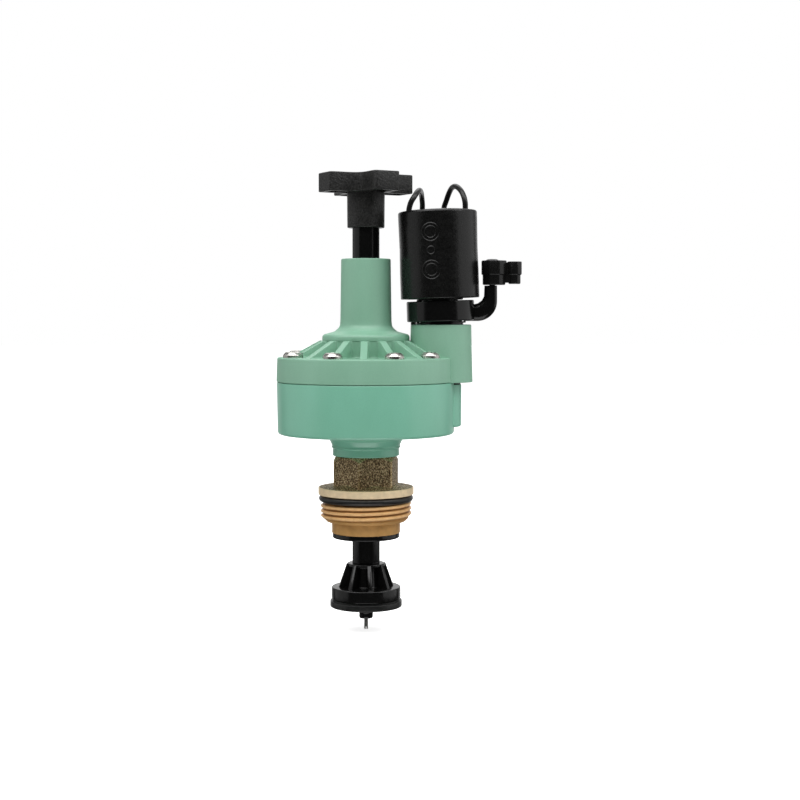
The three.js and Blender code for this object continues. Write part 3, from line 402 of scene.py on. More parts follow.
def place(azimuth, r):
    a = math.radians(azimuth)
    return r * math.sin(a), -r * math.cos(a)


def moved(piece, matrix):
    piece.data.transform(matrix)
    return piece


def about_z(azimuth):
    return Matrix.Rotation(math.radians(azimuth), 4, "Z")


def combine(piece, other, operation):
    """piece joined with (UNION) or cut by (DIFFERENCE) other, which is used up."""
    change = piece.modifiers.new("combine", "BOOLEAN")
    change.object, change.operation, change.solver = other, operation, "MANIFOLD"
    ready = piece.evaluated_get(bpy.context.evaluated_depsgraph_get())
    before, after = piece.data, bpy.data.meshes.new_from_object(ready)
    piece.modifiers.clear()
    piece.data = after
    bpy.data.meshes.remove(before)
    bpy.data.objects.remove(other, do_unlink=True)
    return piece


def join(piece, *others):
    for other in others:
        combine(piece, other, "UNION")
    return piece


def cut(piece, *others):
    for other in others:
        combine(piece, other, "DIFFERENCE")
    return piece


def together(pieces):
    """Separate solids in one mesh."""
    first, *rest = pieces
    bm = bmesh.new()
    for piece in (first, *rest):
        bm.from_mesh(piece.data)
    bm.to_mesh(first.data)
    bm.free()
    for piece in rest:
        bpy.data.objects.remove(piece, do_unlink=True)
    return first


def finished(piece, node, body, looks, sharp=32, face_look=None):
    """Scales the piece for a CAD node to metres, smooths it between sharp edges and puts it on its body."""
    looks = looks if isinstance(looks, (list, tuple)) else [looks]
    piece.name = piece.data.name = f"{node}_shape"
    piece.data.materials.clear()
    for look in looks:
        piece.data.materials.append(look)
    bm = bmesh.new()
    bm.from_mesh(piece.data)
    for face in bm.faces:
        face.smooth = True
        face.material_index = face_look(face) if face_look else 0
    for edge in bm.edges:
        edge.smooth = len(edge.link_faces) == 2 and edge.calc_face_angle(0) < math.radians(sharp)
    bm.transform(Matrix.Scale(MM, 4))
    bm.to_mesh(piece.data)
    bm.free()
    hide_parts(node)
    if body:
        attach(piece, body)
    return piece


# ---- leads: each rises from its socket, arches back and runs into the tied hank ----
WIRE = 2.3  # diameter over the insulation
LEFT_ROUTE = [
    (18.17, -8.6, 116.7),
    (18.1, -8.6, 118.8),
    (18.9, -9.0, 121.7),
    (20.4, -8.2, 124.3),
    (21.8, -4.6, 126.6),
    (22.5, 0.0, 127.4),
    (22.9, 5.0, 127.5),
    (23.3, 10.0, 126.8),
    (23.6, 14.6, 124.8),
    (23.8, 17.4, 122.0),
    (23.4, 18.5, 118.6),
    (22.4, 18.8, 115.2),
]
RIGHT_ROUTE = [
    (41.6, -5.0, 117.5),
    (41.5, -5.0, 119.8),
    (41.4, -5.2, 122.0),
    (40.8, -4.4, 124.7),
    (39.6, -2.2, 127.3),
    (37.8, 1.8, 129.2),
    (36.2, 6.6, 129.0),
    (35.0, 11.0, 126.9),
    (34.0, 14.6, 124.1),
    (33.1, 17.2, 121.4),
    (33.2, 18.1, 118.8),
    (34.0, 18.2, 116.6),
]
HANK_X, HANK_Z = 29.5, 88.5
HANK_FRONT = 20.6  # centre of the wires in the foremost layer
HANK_BACK = 30.2  # and in the last one, where the bare ends lie
LAYER = 2.4
TURN_STEPS = 8  # points to each of a turn's four stretches


def hank_turns(side, end_r, waist, half_run, stretches):
    """Turns of a hank about the Y axis: down a run, round an end, up the other run, round the top."""
    def half_width(z):
        share = min(1.0, abs(z) / half_run)
        return waist + (end_r - waist) * share * share * (3 - 2 * share)

    points = []
    for k in range(round(stretches * TURN_STEPS) + 1):
        stretch, share = (k // TURN_STEPS) % 4, (k % TURN_STEPS) / TURN_STEPS
        angle = math.pi * share
        if stretch % 2 == 0:
            z = half_run * (1 - 2 * share)
            x, z = (half_width(z), z) if stretch == 0 else (-half_width(z), -z)
        else:
            x, z = end_r * math.cos(angle), -half_run - end_r * math.sin(angle)
            if stretch == 3:
                x, z = -x, -z
        y = HANK_FRONT + LAYER * k / (4 * TURN_STEPS)
        points.append((HANK_X + side * x, y, HANK_Z + z))
    return points


def smooth_path(points, steps):
    """A Catmull-Rom curve through the points."""
    p = np.array(points, float)
    p = np.vstack([2 * p[0] - p[1], p, 2 * p[-1] - p[-2]])
    made = []
    for a, b, c, d in zip(p, p[1:], p[2:], p[3:]):
        for t in np.arange(steps) / steps:
            made.append(0.5 * (2 * b + (c - a) * t + (2 * a - 5 * b + 4 * c - d) * t**2
                               + (3 * b - a - 3 * c + d) * t**3))
    return made + [p[-2]]


def lead(name, points):
    curve = bpy.data.curves.new(name, "CURVE")
    curve.dimensions = "3D"
    curve.bevel_depth = WIRE / 2 * MM
    curve.bevel_resolution = 5
    curve.use_fill_caps = True
    path = smooth_path(points, 4)
    spline = curve.splines.new("POLY")
    spline.points.add(len(path) - 1)
    for point, at in zip(spline.points, path):
        point.co = (*(at * MM), 1.0)
    spline.use_smooth = True
    piece = bpy.data.objects.new(name, curve)
    bpy.context.scene.collection.objects.link(piece)
    curve.materials.append(LEAD)
    return piece


def bare_end(side, x, low, high):
    """Seven bare copper strands, twisted."""
    strand, pitch = 0.18, 9.0
    heights = np.linspace(low, high, 24)
    strands = [tube([(x, HANK_BACK, z) for z in heights], disc_section(strand, 8))]
    for k in range(6):
        path = []
        for z in heights:
            a = math.tau * (z / pitch + k / 6)
            path.append((x + 2 * strand * math.cos(a), HANK_BACK + 2 * strand * math.sin(a), z))
        strands.append(tube(path, disc_section(strand, 8)))
    return finished(together(strands), f"bare_end_{side}", "housing", COPPER)


LEFT_END = {"x": HANK_X - 5.4, "low": 76.9, "high": 83.9}
RIGHT_END = {"x": HANK_X - 3.0, "low": 102.0, "high": 109.0}
left_turns = hank_turns(side=-1, end_r=9.6, waist=5.4, half_run=17.2, stretches=3 * 4 + 3 / TURN_STEPS)
right_turns = hank_turns(side=1, end_r=7.2, waist=3.0, half_run=15.8, stretches=3 * 4 + 2.5)
left_path = LEFT_ROUTE + [(20.6, 19.6, 110.0)] + left_turns + [
    (LEFT_END["x"], HANK_BACK - 0.2, left_turns[-1][2] - 3.5),
    (LEFT_END["x"], HANK_BACK, LEFT_END["high"]),
]
right_path = RIGHT_ROUTE + [(35.6, 19.3, 111.0)] + right_turns + [
    (RIGHT_END["x"], HANK_BACK - 0.1, right_turns[-1][2] + 5.0),
    (RIGHT_END["x"], HANK_BACK, right_turns[-1][2] + 9.0),
    (RIGHT_END["x"], HANK_BACK, RIGHT_END["low"] - 0.3),
]
for side, path, end in (("left", left_path, LEFT_END), ("right", right_path, RIGHT_END)):
    wire = lead(f"lead_{side}", path)
    stored = ["lead_hank"] if side == "left" else []
    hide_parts(f"lead_wire_{side}", *stored)
    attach(wire, "housing")
    strands = bare_end(side, **end)


CORNER_SIGNS = ((1, 1), (-1, 1), (-1, -1), (1, -1))


def hank_tie():
    """A nylon tie: a band round the hank's waist, with its lock at the back."""
    wide, deep, wall, high = 14.3, 12.8, 1.0, 3.4
    y = 25.4
    lock_x, lock_y, slot_y = HANK_X + 2.6, 33.1, 33.4

    def band(inset):
        points = []
        a, b, corner = wide / 2 + wall - inset, deep / 2 + wall - inset, 2.0 - min(inset, 1.2)
        for quarter, (sx, sy) in enumerate(CORNER_SIGNS):
            for k in range(9):
                angle = math.pi / 2 * (quarter + k / 8)
                points.append((HANK_X + sx * (a - corner) + corner * math.cos(angle),
                               y + sy * (b - corner) + corner * math.sin(angle)))
        return points

    low, top = HANK_Z - high / 2, HANK_Z + high / 2
    outer = prism(band, edge_levels(low, top, 0.3))
    inner = prism(lambda inset: band(wall), [(low - 1, 0), (top + 1, 0)])
    lock = prism(lambda inset: [(lock_x + sx * (2.4 - inset), lock_y + sy * (1.3 - inset))
                                for sx, sy in CORNER_SIGNS], edge_levels(low - 0.6, top + 0.6, 0.35))
    slot = prism(lambda inset: [(lock_x + sx * 1.5, slot_y + sy * 0.5) for sx, sy in CORNER_SIGNS],
                 [(top - 1.0, 0), (top + 2.0, 0)])
    return cut(join(cut(outer, inner), lock), slot)


finished(hank_tie(), "hank_tie", "housing", TIE)

# ---- bonnet and lower body ----
SEAM_Z = 47.1
SHEET_LOW_Z = 46.1  # the diaphragm is clamped between this height and the seam
CHAMBER_R = 28.0
CHAMBER_TOP_Z = 54.0
CROWN_ROOF_Z = 64.3
STEM_BORE_R = 6.0
NECK_TOP_Z = 98.7
ROD_BORE_R = 6.1
SPIGOT_BOTTOM_Z = 4.5
NECK_BOTTOM_Z = 16.2
BOWL_BOTTOM_Z = 25.4
CHAMBER_FLOOR_Z = 28.9
PORT_R = 1.6
SCREW_HOLE_R = 2.3
FLANGE_TOP_Z = 57.5
SHOULDER_R = 18.3
SHOULDER_BOTTOM_Z = 64.5
COLUMN_X = 31.5
COLUMN_TOP_Z = 71.2
SCREW_R = 32.3
SCREW_AZIMUTHS = [-22.5, 22.5, 56, 124, 157.5, -157.5, -112.5, -67.5]
LEAN = math.radians(-1.85)
LEANING = Matrix.Translation((COLUMN_X, 0, COLUMN_TOP_Z)) @ Matrix.Rotation(LEAN, 4, "Y")


def rib(azimuth):
    """A stiffening rib: its top slopes from the shoulder to the flange, its foot is filleted."""
    half, fillet, round_edge = 1.45, 0.8, 0.3
    inner, crest, outer = 17.0, 19.3, 28.3 if azimuth in SCREW_AZIMUTHS else 32.6
    drop, run = 7.3, 13.7
    slope = drop / run
    foot = FLANGE_TOP_Z - 0.3
    wall_r = SHOULDER_R - 0.2
    stations = [inner, wall_r]
    stations += [wall_r + fillet * (1 - math.cos(a)) for a in (0.3, 0.6, 0.9, 1.2, 1.5)]
    stations += list(np.linspace(crest, outer, 9))
    rings = []
    for r in stations:
        top = SHOULDER_BOTTOM_Z - slope * max(0.0, r - crest)
        depth = max(0.05, top - FLANGE_TOP_Z)
        reach = max(0.0, 1 - (r - wall_r) / fillet) if r > wall_r else 1.0
        flare = fillet * (1 - math.sqrt(1 - reach * reach)) if reach < 1 else fillet * 0.98
        low = min(fillet, depth * 0.6)
        edge = min(round_edge, depth * 0.3)
        side = [(half + flare + low, foot)]
        for a in (0.0, 0.35, 0.75, 1.15, math.pi / 2):
            side.append((half + flare + low * (1 - math.sin(a)), FLANGE_TOP_Z + low * (1 - math.cos(a))))
        for a in (0.0, 0.5, 1.0, math.pi / 2):
            z = FLANGE_TOP_Z + depth - edge * (1 - math.sin(a))
            side.append((half + flare - edge * (1 - math.cos(a)), z))
        ring = side + [(-w, z) for w, z in reversed(side)]
        rings.append([(r, w, z) for w, z in ring])
    return moved(skin(rings), about_z(azimuth - 90))


def screw_holes(low, high):
    return together([post(SCREW_HOLE_R, low, high, *place(a, SCREW_R), 32) for a in SCREW_AZIMUTHS])


def bonnet():
    shell = turned([
        (CHAMBER_R, SEAM_Z, 0.3),
        (36.0, SEAM_Z),
        (36.0, SEAM_Z + 0.25),
        (37.5, SEAM_Z + 0.25, 0.3),
        (37.2, FLANGE_TOP_Z, 0.7),
        (18.1, FLANGE_TOP_Z, 0.8),
        (18.1, SHOULDER_BOTTOM_Z, 0.2),
        (18.35, SHOULDER_BOTTOM_Z, 0.2),
        (18.35, 66.9, 2.3),
        (13.2, 68.3, 2.0),
        (11.0, 70.2, 2.6),
        (10.75, 73.0),
        (10.4, NECK_TOP_Z, 0.5),
        (STEM_BORE_R, NECK_TOP_Z, 0.4),
        (STEM_BORE_R, CROWN_ROOF_Z, 0.3),
        (14.8, CROWN_ROOF_Z, 0.8),
        (14.8, CHAMBER_TOP_Z, 0.8),
        (CHAMBER_R, CHAMBER_TOP_Z, 1.0),
    ])
    column = turned([
        (0, SEAM_Z), (13.3, SEAM_Z, 0.25), (12.95, 59.5), (12.7, COLUMN_TOP_Z, 0.5), (0, COLUMN_TOP_Z),
    ], False, ROUND, COLUMN_X)
    # a rib every sixteenth of a turn, but none where the column stands
    azimuths = [i * 22.5 - (360 if i > 8 else 0) for i in range(16) if i != 4]
    ribs = together([rib(azimuth) for azimuth in azimuths])
    whole = join(shell, ribs, column)
    chamber = turned([
        (0, SEAM_Z - 2), (CHAMBER_R, SEAM_Z - 2), (CHAMBER_R, CHAMBER_TOP_Z, 1.0), (0, CHAMBER_TOP_Z),
    ], False)
    bore = moved(post(9.7, -11.6, 2.0, facets=ROUND), LEANING)
    exhaust = post(PORT_R, SEAM_Z - 2, 64, COLUMN_X)
    return cut(whole, chamber, bore, exhaust, screw_holes(SEAM_Z - 1, FLANGE_TOP_Z + 1))


def lower_body():
    bowl = turned([
        (ROD_BORE_R, SPIGOT_BOTTOM_Z, 0.3),
        (9.2, SPIGOT_BOTTOM_Z, 0.5),
        (9.2, NECK_BOTTOM_Z),
        (14.05, NECK_BOTTOM_Z, 0.45),
        (13.95, 19.3, 0.3),
        (14.5, 19.7, 0.35),
        (14.3, 20.6, 0.5),
        (15.4, 23.0, 3.0),
        (19.0, BOWL_BOTTOM_Z, 1.6),
        (37.0, BOWL_BOTTOM_Z, 1.3),
        (37.4, SEAM_Z, 0.4),
        (35.8, SEAM_Z),
        (35.8, SHEET_LOW_Z),
        (28.5, SHEET_LOW_Z, 0.4),
        (28.5, CHAMBER_FLOOR_Z, 2.0),
        (ROD_BORE_R, CHAMBER_FLOOR_Z, 0.3),
    ])
    boss = turned([
        (0, 28.4), (8.5, 28.4, 0.9), (8.6, SHEET_LOW_Z, 0.2), (0, SHEET_LOW_Z),
    ], False, ROUND, COLUMN_X)
    chamber = turned([(0, 29.2), (28.45, 29.2, 2.0), (28.45, 50.0), (0, 50.0)], False)
    port = post(PORT_R, 33, SEAM_Z, COLUMN_X)
    ear = post(8.8, SHEET_LOW_Z, 48.2, COLUMN_X, facets=ROUND)
    return cut(join(bowl, boss), chamber, ear, port, screw_holes(33.0, SEAM_Z + 1))


def pan_head_screw(head_r, head_h, shank_r, length, turn):
    """A pan head with a cross recess, on a pointed shank. The head's seat is at z = 0."""
    head = turned([
        (0, -length),
        (shank_r * 0.4, -length),
        (shank_r, -length + shank_r, 0.3),
        (shank_r, 0),
        (head_r, 0, 0.1),
        (head_r, head_h * 0.42, 0.5),
        (head_r * 0.74, head_h * 0.92, 1.2),
        (0, head_h),
    ], False, 64)
    wide, deep = head_r * 0.27, head_h * 0.75

    def arm(angle):
        def oblong(level):
            a, b = head_r * (0.62 - 0.3 * level), wide * (0.5 - 0.12 * level)
            return [(a, -b), (a, b), (-a, b), (-a, -b)]

        wedge = prism(oblong, [(head_h - deep, 1.0), (head_h + 0.3, 0.0)])
        return moved(wedge, about_z(angle))

    core = turned([(0, head_h - deep * 1.25), (head_r * 0.1, head_h - deep),
                   (head_r * 0.3, head_h + 0.3), (0, head_h + 0.3)], False, 16)
    cut(head, join(arm(0), arm(90), core))
    return moved(head, about_z(turn))


finished(bonnet(), "bonnet", "housing", COVER)
finished(lower_body(), "lower_body", "housing", BODY)
for i, azimuth in enumerate(SCREW_AZIMUTHS):
    screw = pan_head_screw(head_r=4.0, head_h=2.7, shank_r=2.0, length=23.5, turn=37 * i)
    moved(screw, Matrix.Translation((*place(azimuth, SCREW_R), FLANGE_TOP_Z)))
    finished(screw, f"bonnet_screw_{i + 1}", "housing", STEEL)


def diaphragm():
    sheet = turned([
        (4.3, 41.1), (21.9, 41.1, 1.5), (24.6, 43.0, 2.0), (26.6, SHEET_LOW_Z, 1.5), (35.5, SHEET_LOW_Z),
        (35.5, SEAM_Z), (26.3, SEAM_Z, 1.5), (24.0, 43.9, 1.5), (21.5, 42.1, 1.5), (4.3, 42.1),
    ])
    ear = post(8.3, SHEET_LOW_Z, SEAM_Z, COLUMN_X, facets=ROUND, edge=0.2)
    cut(ear, post(29.0, 40, 50, facets=ROUND))
    return cut(join(sheet, ear), post(PORT_R, 45, 48, COLUMN_X), screw_holes(45, 48))


sheet = finished(diaphragm(), "diaphragm", None, RUBBER)
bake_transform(sheet)

# ---- brass adapter, its seals and the rod's guide ----
HEX_FLATS = 25.0
THREAD_R = 19.05
THREAD_PITCH = 25.4 / 12
THREAD_TOP_Z = -3.3
THREAD_BOTTOM_Z = -11.3
THREAD_START_R = 16.6  # small end of the chamfer the thread starts on
THREAD_CHAMFER = 1.2
BARREL_R = THREAD_R - 1.2  # under the thread's ridge
BRASS_BORE_R = 7.8
COLLAR_R = 14.4
COLLAR_BOTTOM_Z = -16.2
BRASS_FLANGE_R = 20.1
BRASS_FLANGE_TOP_Z = 3.1
SOCKET_R = 9.5  # takes the lower body's spigot
SOCKET_BOTTOM_Z = 2.5
HEX_LOW_Z = 2.6


def thread():
    """One helical ridge that runs out at both ends, chamfered where it starts."""
    turns = (THREAD_TOP_Z - THREAD_BOTTOM_Z) / THREAD_PITCH - 0.55
    depth = 1.15
    root = THREAD_R - depth
    count = round(turns * 120)
    rings = []
    for k in range(count + 1):
        share = k / count
        angle = math.tau * turns * share
        fade = min(1.0, share * turns / 0.3, (1 - share) * turns / 0.3)
        crest = root + depth * math.sin(fade * math.pi / 2)
        z = THREAD_BOTTOM_Z + 1.15 + THREAD_PITCH * turns * share
        section = [(root - 0.4, -1.0), (root, -0.97), (crest - 0.14, -0.46), (crest, -0.28),
                   (crest, 0.28), (crest - 0.14, 0.46), (root, 0.97), (root - 0.4, 1.0)]
        rings.append([(r * math.cos(angle), r * math.sin(angle), z + up) for r, up in section])
    ridge = skin(rings)
    start, wide = THREAD_START_R + 0.05, THREAD_R + 0.6
    slope = THREAD_CHAMFER / (BARREL_R - THREAD_START_R)
    kept = turned([
        (0, THREAD_BOTTOM_Z), (start, THREAD_BOTTOM_Z), (wide, THREAD_BOTTOM_Z + (wide - start) * slope),
        (wide, THREAD_TOP_Z + 1), (0, THREAD_TOP_Z + 1),
    ], False)
    return combine(ridge, kept, "INTERSECT")


def brass_adapter():
    barrel = turned([
        (BRASS_BORE_R, COLLAR_BOTTOM_Z, 0.3),
        (COLLAR_R, COLLAR_BOTTOM_Z, 0.35),
        (COLLAR_R, THREAD_BOTTOM_Z),
        (THREAD_START_R, THREAD_BOTTOM_Z),
        (BARREL_R, THREAD_BOTTOM_Z + THREAD_CHAMFER),
        (BARREL_R, THREAD_TOP_Z - 0.3),
        (16.9, THREAD_TOP_Z, 0.1),
        (16.7, 0.0, 0.15),
        (BRASS_FLANGE_R, 0.0, 0.25),
        (BRASS_FLANGE_R, BRASS_FLANGE_TOP_Z, 0.45),
        (SOCKET_R, BRASS_FLANGE_TOP_Z),
        (SOCKET_R, SOCKET_BOTTOM_Z),
        (BRASS_BORE_R, SOCKET_BOTTOM_Z),
    ])
    corner = HEX_FLATS / math.sqrt(3)
    wide = corner + 1
    chamfer_r, steep = 12.45, 1.15

    def hexagon(inset):
        return [place(-10 + 60 * k, corner - inset) for k in range(6)]

    blank = prism(hexagon, [(HEX_LOW_Z, 0), (NECK_BOTTOM_Z, 0)])
    bevel = blank.modifiers.new("edges", "BEVEL")
    bevel.width, bevel.segments, bevel.limit_method = 0.7, 3, "ANGLE"
    chamfer = turned([
        (0, 0.5), (wide, 0.5), (wide, NECK_BOTTOM_Z - (wide - chamfer_r) * steep),
        (chamfer_r, NECK_BOTTOM_Z, 0.2), (0, NECK_BOTTOM_Z),
    ], False)
    combine(blank, chamfer, "INTERSECT")
    foot = turned([(0, 2.9), (corner + 0.9, 2.9), (12.6, 4.3, 1.0), (12.4, 6.0), (0, 6.0)], False)
    socket = post(SOCKET_R, HEX_LOW_Z - 0.05, 20, facets=ROUND)
    return cut(join(barrel, blank, thread(), foot), socket)


def brass_face(face):
    """0 for cast faces (the hexagon, the flange's upper side), 1 for turned ones, 2 for the hexagon's edges
    and chamfers, painted lighter as a highlight.
    """
    centre = face.calc_center_median()
    r = math.hypot(centre.x, centre.y)
    if centre.z < 2.9 or (centre.z < 3.2 and r > 19.6) or r < 9.6:
        return 1
    if centre.z > 4.6 and r > 12.6:
        from_flat = math.degrees(math.atan2(face.normal.x, -face.normal.y)) - 20
        # the hexagon's edges and chamfer faces take the lighter brass, a painted highlight
        if 0.2 < face.normal.z < 0.9 or abs(math.remainder(from_flat, 60)) > 8:
            return 2
    return 0


BRASS = [CAST, TURNED, EDGE_HIGHLIGHT_BRASS]
finished(brass_adapter(), "brass_adapter", "housing", BRASS, face_look=brass_face)
finished(o_ring(18.4, -1.65, 2.9), "flange_o_ring", "housing", RUBBER)
bush = turned([
    (ROD_BORE_R, -18.3, 0.4), (14.15, -18.3, 0.5), (14.15, COLLAR_BOTTOM_Z, 0.2), (7.5, COLLAR_BOTTOM_Z),
    (7.5, -8.0, 0.4), (ROD_BORE_R, -8.0, 0.3),
])
finished(bush, "rod_guide_bush", "housing", GLOSS)

# ---- piston: rod, cage, washer, screw, pin and the return spring ----
CAGE_TOP_Z = -29.1
DISC_TOP_Z = -39.0
DISC_BOTTOM_Z = -44.2
SEAT_Z = -47.3
RECESS_Z = SEAT_Z + 1.0  # roof of the washer's recess for the screw's head
ROD_R, ROD_TOP_R, ROD_TAIL_R = 5.8, 4.0, 3.5
ROD_TOP_Z, ROD_SHOULDER_Z, ROD_TAIL_Z = 49.0, 39.0, -43.9
WATERWAY_R = 1.25
TAPPED_R, TAPPED_TOP_Z = 2.3, -34.0  # takes the seat screw

rod = turned([
    (TAPPED_R, ROD_TAIL_Z), (ROD_TAIL_R, ROD_TAIL_Z, 0.3), (ROD_TAIL_R, CAGE_TOP_Z), (ROD_R, CAGE_TOP_Z, 0.2),
    (ROD_R, ROD_SHOULDER_Z, 0.4), (ROD_TOP_R, ROD_SHOULDER_Z), (ROD_TOP_R, ROD_TOP_Z, 0.5),
    (WATERWAY_R, ROD_TOP_Z), (WATERWAY_R, TAPPED_TOP_Z), (TAPPED_R, TAPPED_TOP_Z),
], True, 96)
finished(rod, "piston_rod", "piston", GLOSS)


def cage_fin(azimuth):
    """A fin from the disc up to the top plate: it narrows upwards and its outer edge is softened."""
    half, foot, inner, edge = 0.75, 0.7, 4.6, 0.25
    outer_line = [
        (DISC_TOP_Z - 0.6, 11.6), (DISC_TOP_Z, 11.6), (CAGE_TOP_Z - 0.25, 8.25), (CAGE_TOP_Z - 0.05, 8.0),
    ]
    rings = []
    for z, outer in outer_line:
        rise = (z - DISC_TOP_Z) / (CAGE_TOP_Z - DISC_TOP_Z)
        t = half + foot * 0.25 * (1 - max(0.0, rise))
        left = [
            (inner, -t), (outer - edge, -t), (outer - edge * 0.3, -t + edge * 0.3), (outer, -t + edge),
        ]
        right = [(outer, t - edge), (outer - edge * 0.3, t - edge * 0.3), (outer - edge, t), (inner, t)]
        rings.append([(x, y, z) for x, y in left + right])
    return moved(skin(rings), about_z(azimuth - 90))


def seat_cage():
    bore_r, disc_r, plate_r, core_r = 3.8, 14.55, 7.9, 5.6
    hub = turned([
        (bore_r, DISC_BOTTOM_Z), (14.15, DISC_BOTTOM_Z, 0.3), (disc_r, DISC_BOTTOM_Z + 0.5, 0.3),
        (disc_r, DISC_TOP_Z, 0.5), (6.2, DISC_TOP_Z, 0.5), (core_r, -33.0, 0.6),
        (core_r, CAGE_TOP_Z - 1.3, 0.4), (plate_r, CAGE_TOP_Z - 1.2, 0.3), (plate_r, CAGE_TOP_Z, 0.35),
        (bore_r, CAGE_TOP_Z),
    ])
    return join(hub, together([cage_fin(11 + 45 * k) for k in range(8)]))


finished(seat_cage(), "seat_cage", "piston", GLOSS)


def seat_washer():
    """The washer, with a dark groove between it and the disc and a recess for the screw's head."""
    washer_r, groove_r, groove_low, recess_r = 15.1, 14.1, -44.75, 3.2
    return turned([
        (TAPPED_R, DISC_BOTTOM_Z), (groove_r, DISC_BOTTOM_Z), (groove_r, groove_low),
        (washer_r, groove_low, 0.2), (washer_r, SEAT_Z, 0.4), (recess_r, SEAT_Z, 0.2), (recess_r, RECESS_Z),
        (TAPPED_R, RECESS_Z),
    ])


def seat_screw():
    """A hollow screw, bored for the metering pin, with a small step round its head."""
    low, top, bore_r, shank_r, head_r = -52.4, -35.0, 1.1, 2.0, 2.9
    return turned([
        (bore_r, low, 0.2), (2.7, low, 0.3), (head_r, -51.7, 0.3), (head_r, -50.2, 0.1), (3.0, -50.0, 0.1),
        (3.0, RECESS_Z, 0.1), (shank_r, RECESS_Z), (shank_r, top), (bore_r, top),
    ], True, SMALL)


def forked_pin():
    tip_z, gap_top_z, half_gap = -57.1, -56.0, 0.16
    shaft = post(0.8, tip_z, -35.5, edge=0.15, facets=36)
    gap = prism(lambda inset: [(half_gap, -2), (half_gap, 2), (-half_gap, 2), (-half_gap, -2)],
                [(-58, 0), (gap_top_z, 0)])
    return cut(shaft, gap)


finished(seat_washer(), "seat_washer", "piston", RUBBER)
finished(seat_screw(), "seat_screw", "piston", GLOSS)
finished(forked_pin(), "metering_pin", "piston", PIN)


def spring(mean_r, wire, low, high, turns):
    """A compression spring whose turns lie closer together at its ends."""
    path = []
    rise = high - low - wire
    count = turns * 40
    for k in range(count + 1):
        share = k / count
        closed = 0.5 - 0.5 * math.cos(math.pi * share)
        z = low + wire / 2 + rise * (0.55 * closed + 0.45 * share)
        angle = math.tau * turns * share
        path.append((mean_r * math.cos(angle), mean_r * math.sin(angle), z))
    return tube(path, disc_section(wire / 2, 14))


coil = spring(mean_r=11.2, wire=1.5, low=44.1, high=64.0, turns=5)
coil = finished(coil, "return_spring", "housing", SPRING)
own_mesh(coil)

# ---- flow control: knob, stem and screw ----
HUB_BOTTOM_Z = 111.7
KNOB_BOTTOM_Z = 126.3
KNOB_TOP_Z = 134.2
LOBE_AZIMUTH = 29
HUB_TOP_Z = KNOB_TOP_Z - 1
KNOB_SCREW_Z = 132.0  # where the knob's screw seats
STEM_R = 5.7
STEM_TOP_Z = 124.0


def lobed(length, width, core):
    """Plan of four round-cornered lobes on a round core, in polar form."""
    square, blend = 20, 6  # higher powers give sharper corners and sharper joins

    def outline(inset):
        points = []
        count = 288
        for k in range(count):
            angle = k * math.tau / count
            bar = []
            for turn in (LOBE_AZIMUTH, LOBE_AZIMUTH + 90):
                c, s = abs(math.cos(angle - math.radians(turn))), abs(math.sin(angle - math.radians(turn)))
                bar.append(((c / length) ** square + (s / width) ** square) ** (-1 / square))
            r = (bar[0] ** blend + bar[1] ** blend + core**blend) ** (1 / blend) - inset
            points.append((r * math.cos(angle), r * math.sin(angle)))
        return points

    return outline


def flow_knob():
    body = prism(lobed(19.5, 5.8, 9.8), edge_levels(KNOB_BOTTOM_Z, KNOB_TOP_Z, 0.45))
    top = KNOB_TOP_Z - 2.8
    pocket = prism(lobed(17.5, 3.9, 4.0), [(KNOB_BOTTOM_Z - 1, -0.05), (top - 0.4, 0.0), (top, 0.4)])
    hub = turned([
        (0, HUB_BOTTOM_Z), (7.8, HUB_BOTTOM_Z, 0.4), (7.9, 124.0), (7.95, 126.0, 0.5), (8.1, HUB_TOP_Z),
        (0, HUB_TOP_Z),
    ], False)
    cut(body, pocket)
    join(body, hub)
    bore = post(4.8, HUB_BOTTOM_Z - 1, 124.3, edge=0.1)
    seat = turned([
        (0, KNOB_SCREW_Z), (4.3, KNOB_SCREW_Z, 0.2), (4.3, KNOB_TOP_Z - 0.4), (4.8, KNOB_TOP_Z + 0.3),
        (0, KNOB_TOP_Z + 0.3),
    ], False)
    return cut(body, bore, seat, post(1.9, 120, 140))


finished(flow_knob(), "flow_knob", "flow_knob", KNOB)
stem = turned([
    (0, 57.0), (2.0, 57.0, 0.3), (2.0, 59.0), (STEM_R, 59.0, 0.4), (STEM_R, 92.2, 0.1), (4.6, 92.2),
    (4.6, 93.8), (STEM_R, 93.8, 0.1), (STEM_R, HUB_BOTTOM_Z), (4.5, HUB_BOTTOM_Z), (4.5, STEM_TOP_Z, 0.3),
    (1.9, STEM_TOP_Z), (1.9, 116.0), (0, 116.0),
], False, 96)
finished(stem, "flow_stem", "flow_knob", GLOSS)
knob_screw = pan_head_screw(head_r=3.9, head_h=1.9, shank_r=1.6, length=15.0, turn=22)
moved(knob_screw, Matrix.Translation((0, 0, KNOB_SCREW_Z)))
finished(knob_screw, "knob_screw", "flow_knob", STEEL)

# ---- solenoid, on its own leaning axis; heights are counted from the column's top ----
CASE_R = 16.6
CASE_LOW, CASE_HIGH = 10.9, 47.9
LEAD_SOCKETS = [(-11.86, -8.6), (11.56, -5.0)]
ADAPTER_R = 9.4
PLUNGER_SPRING_TOP = 31.3


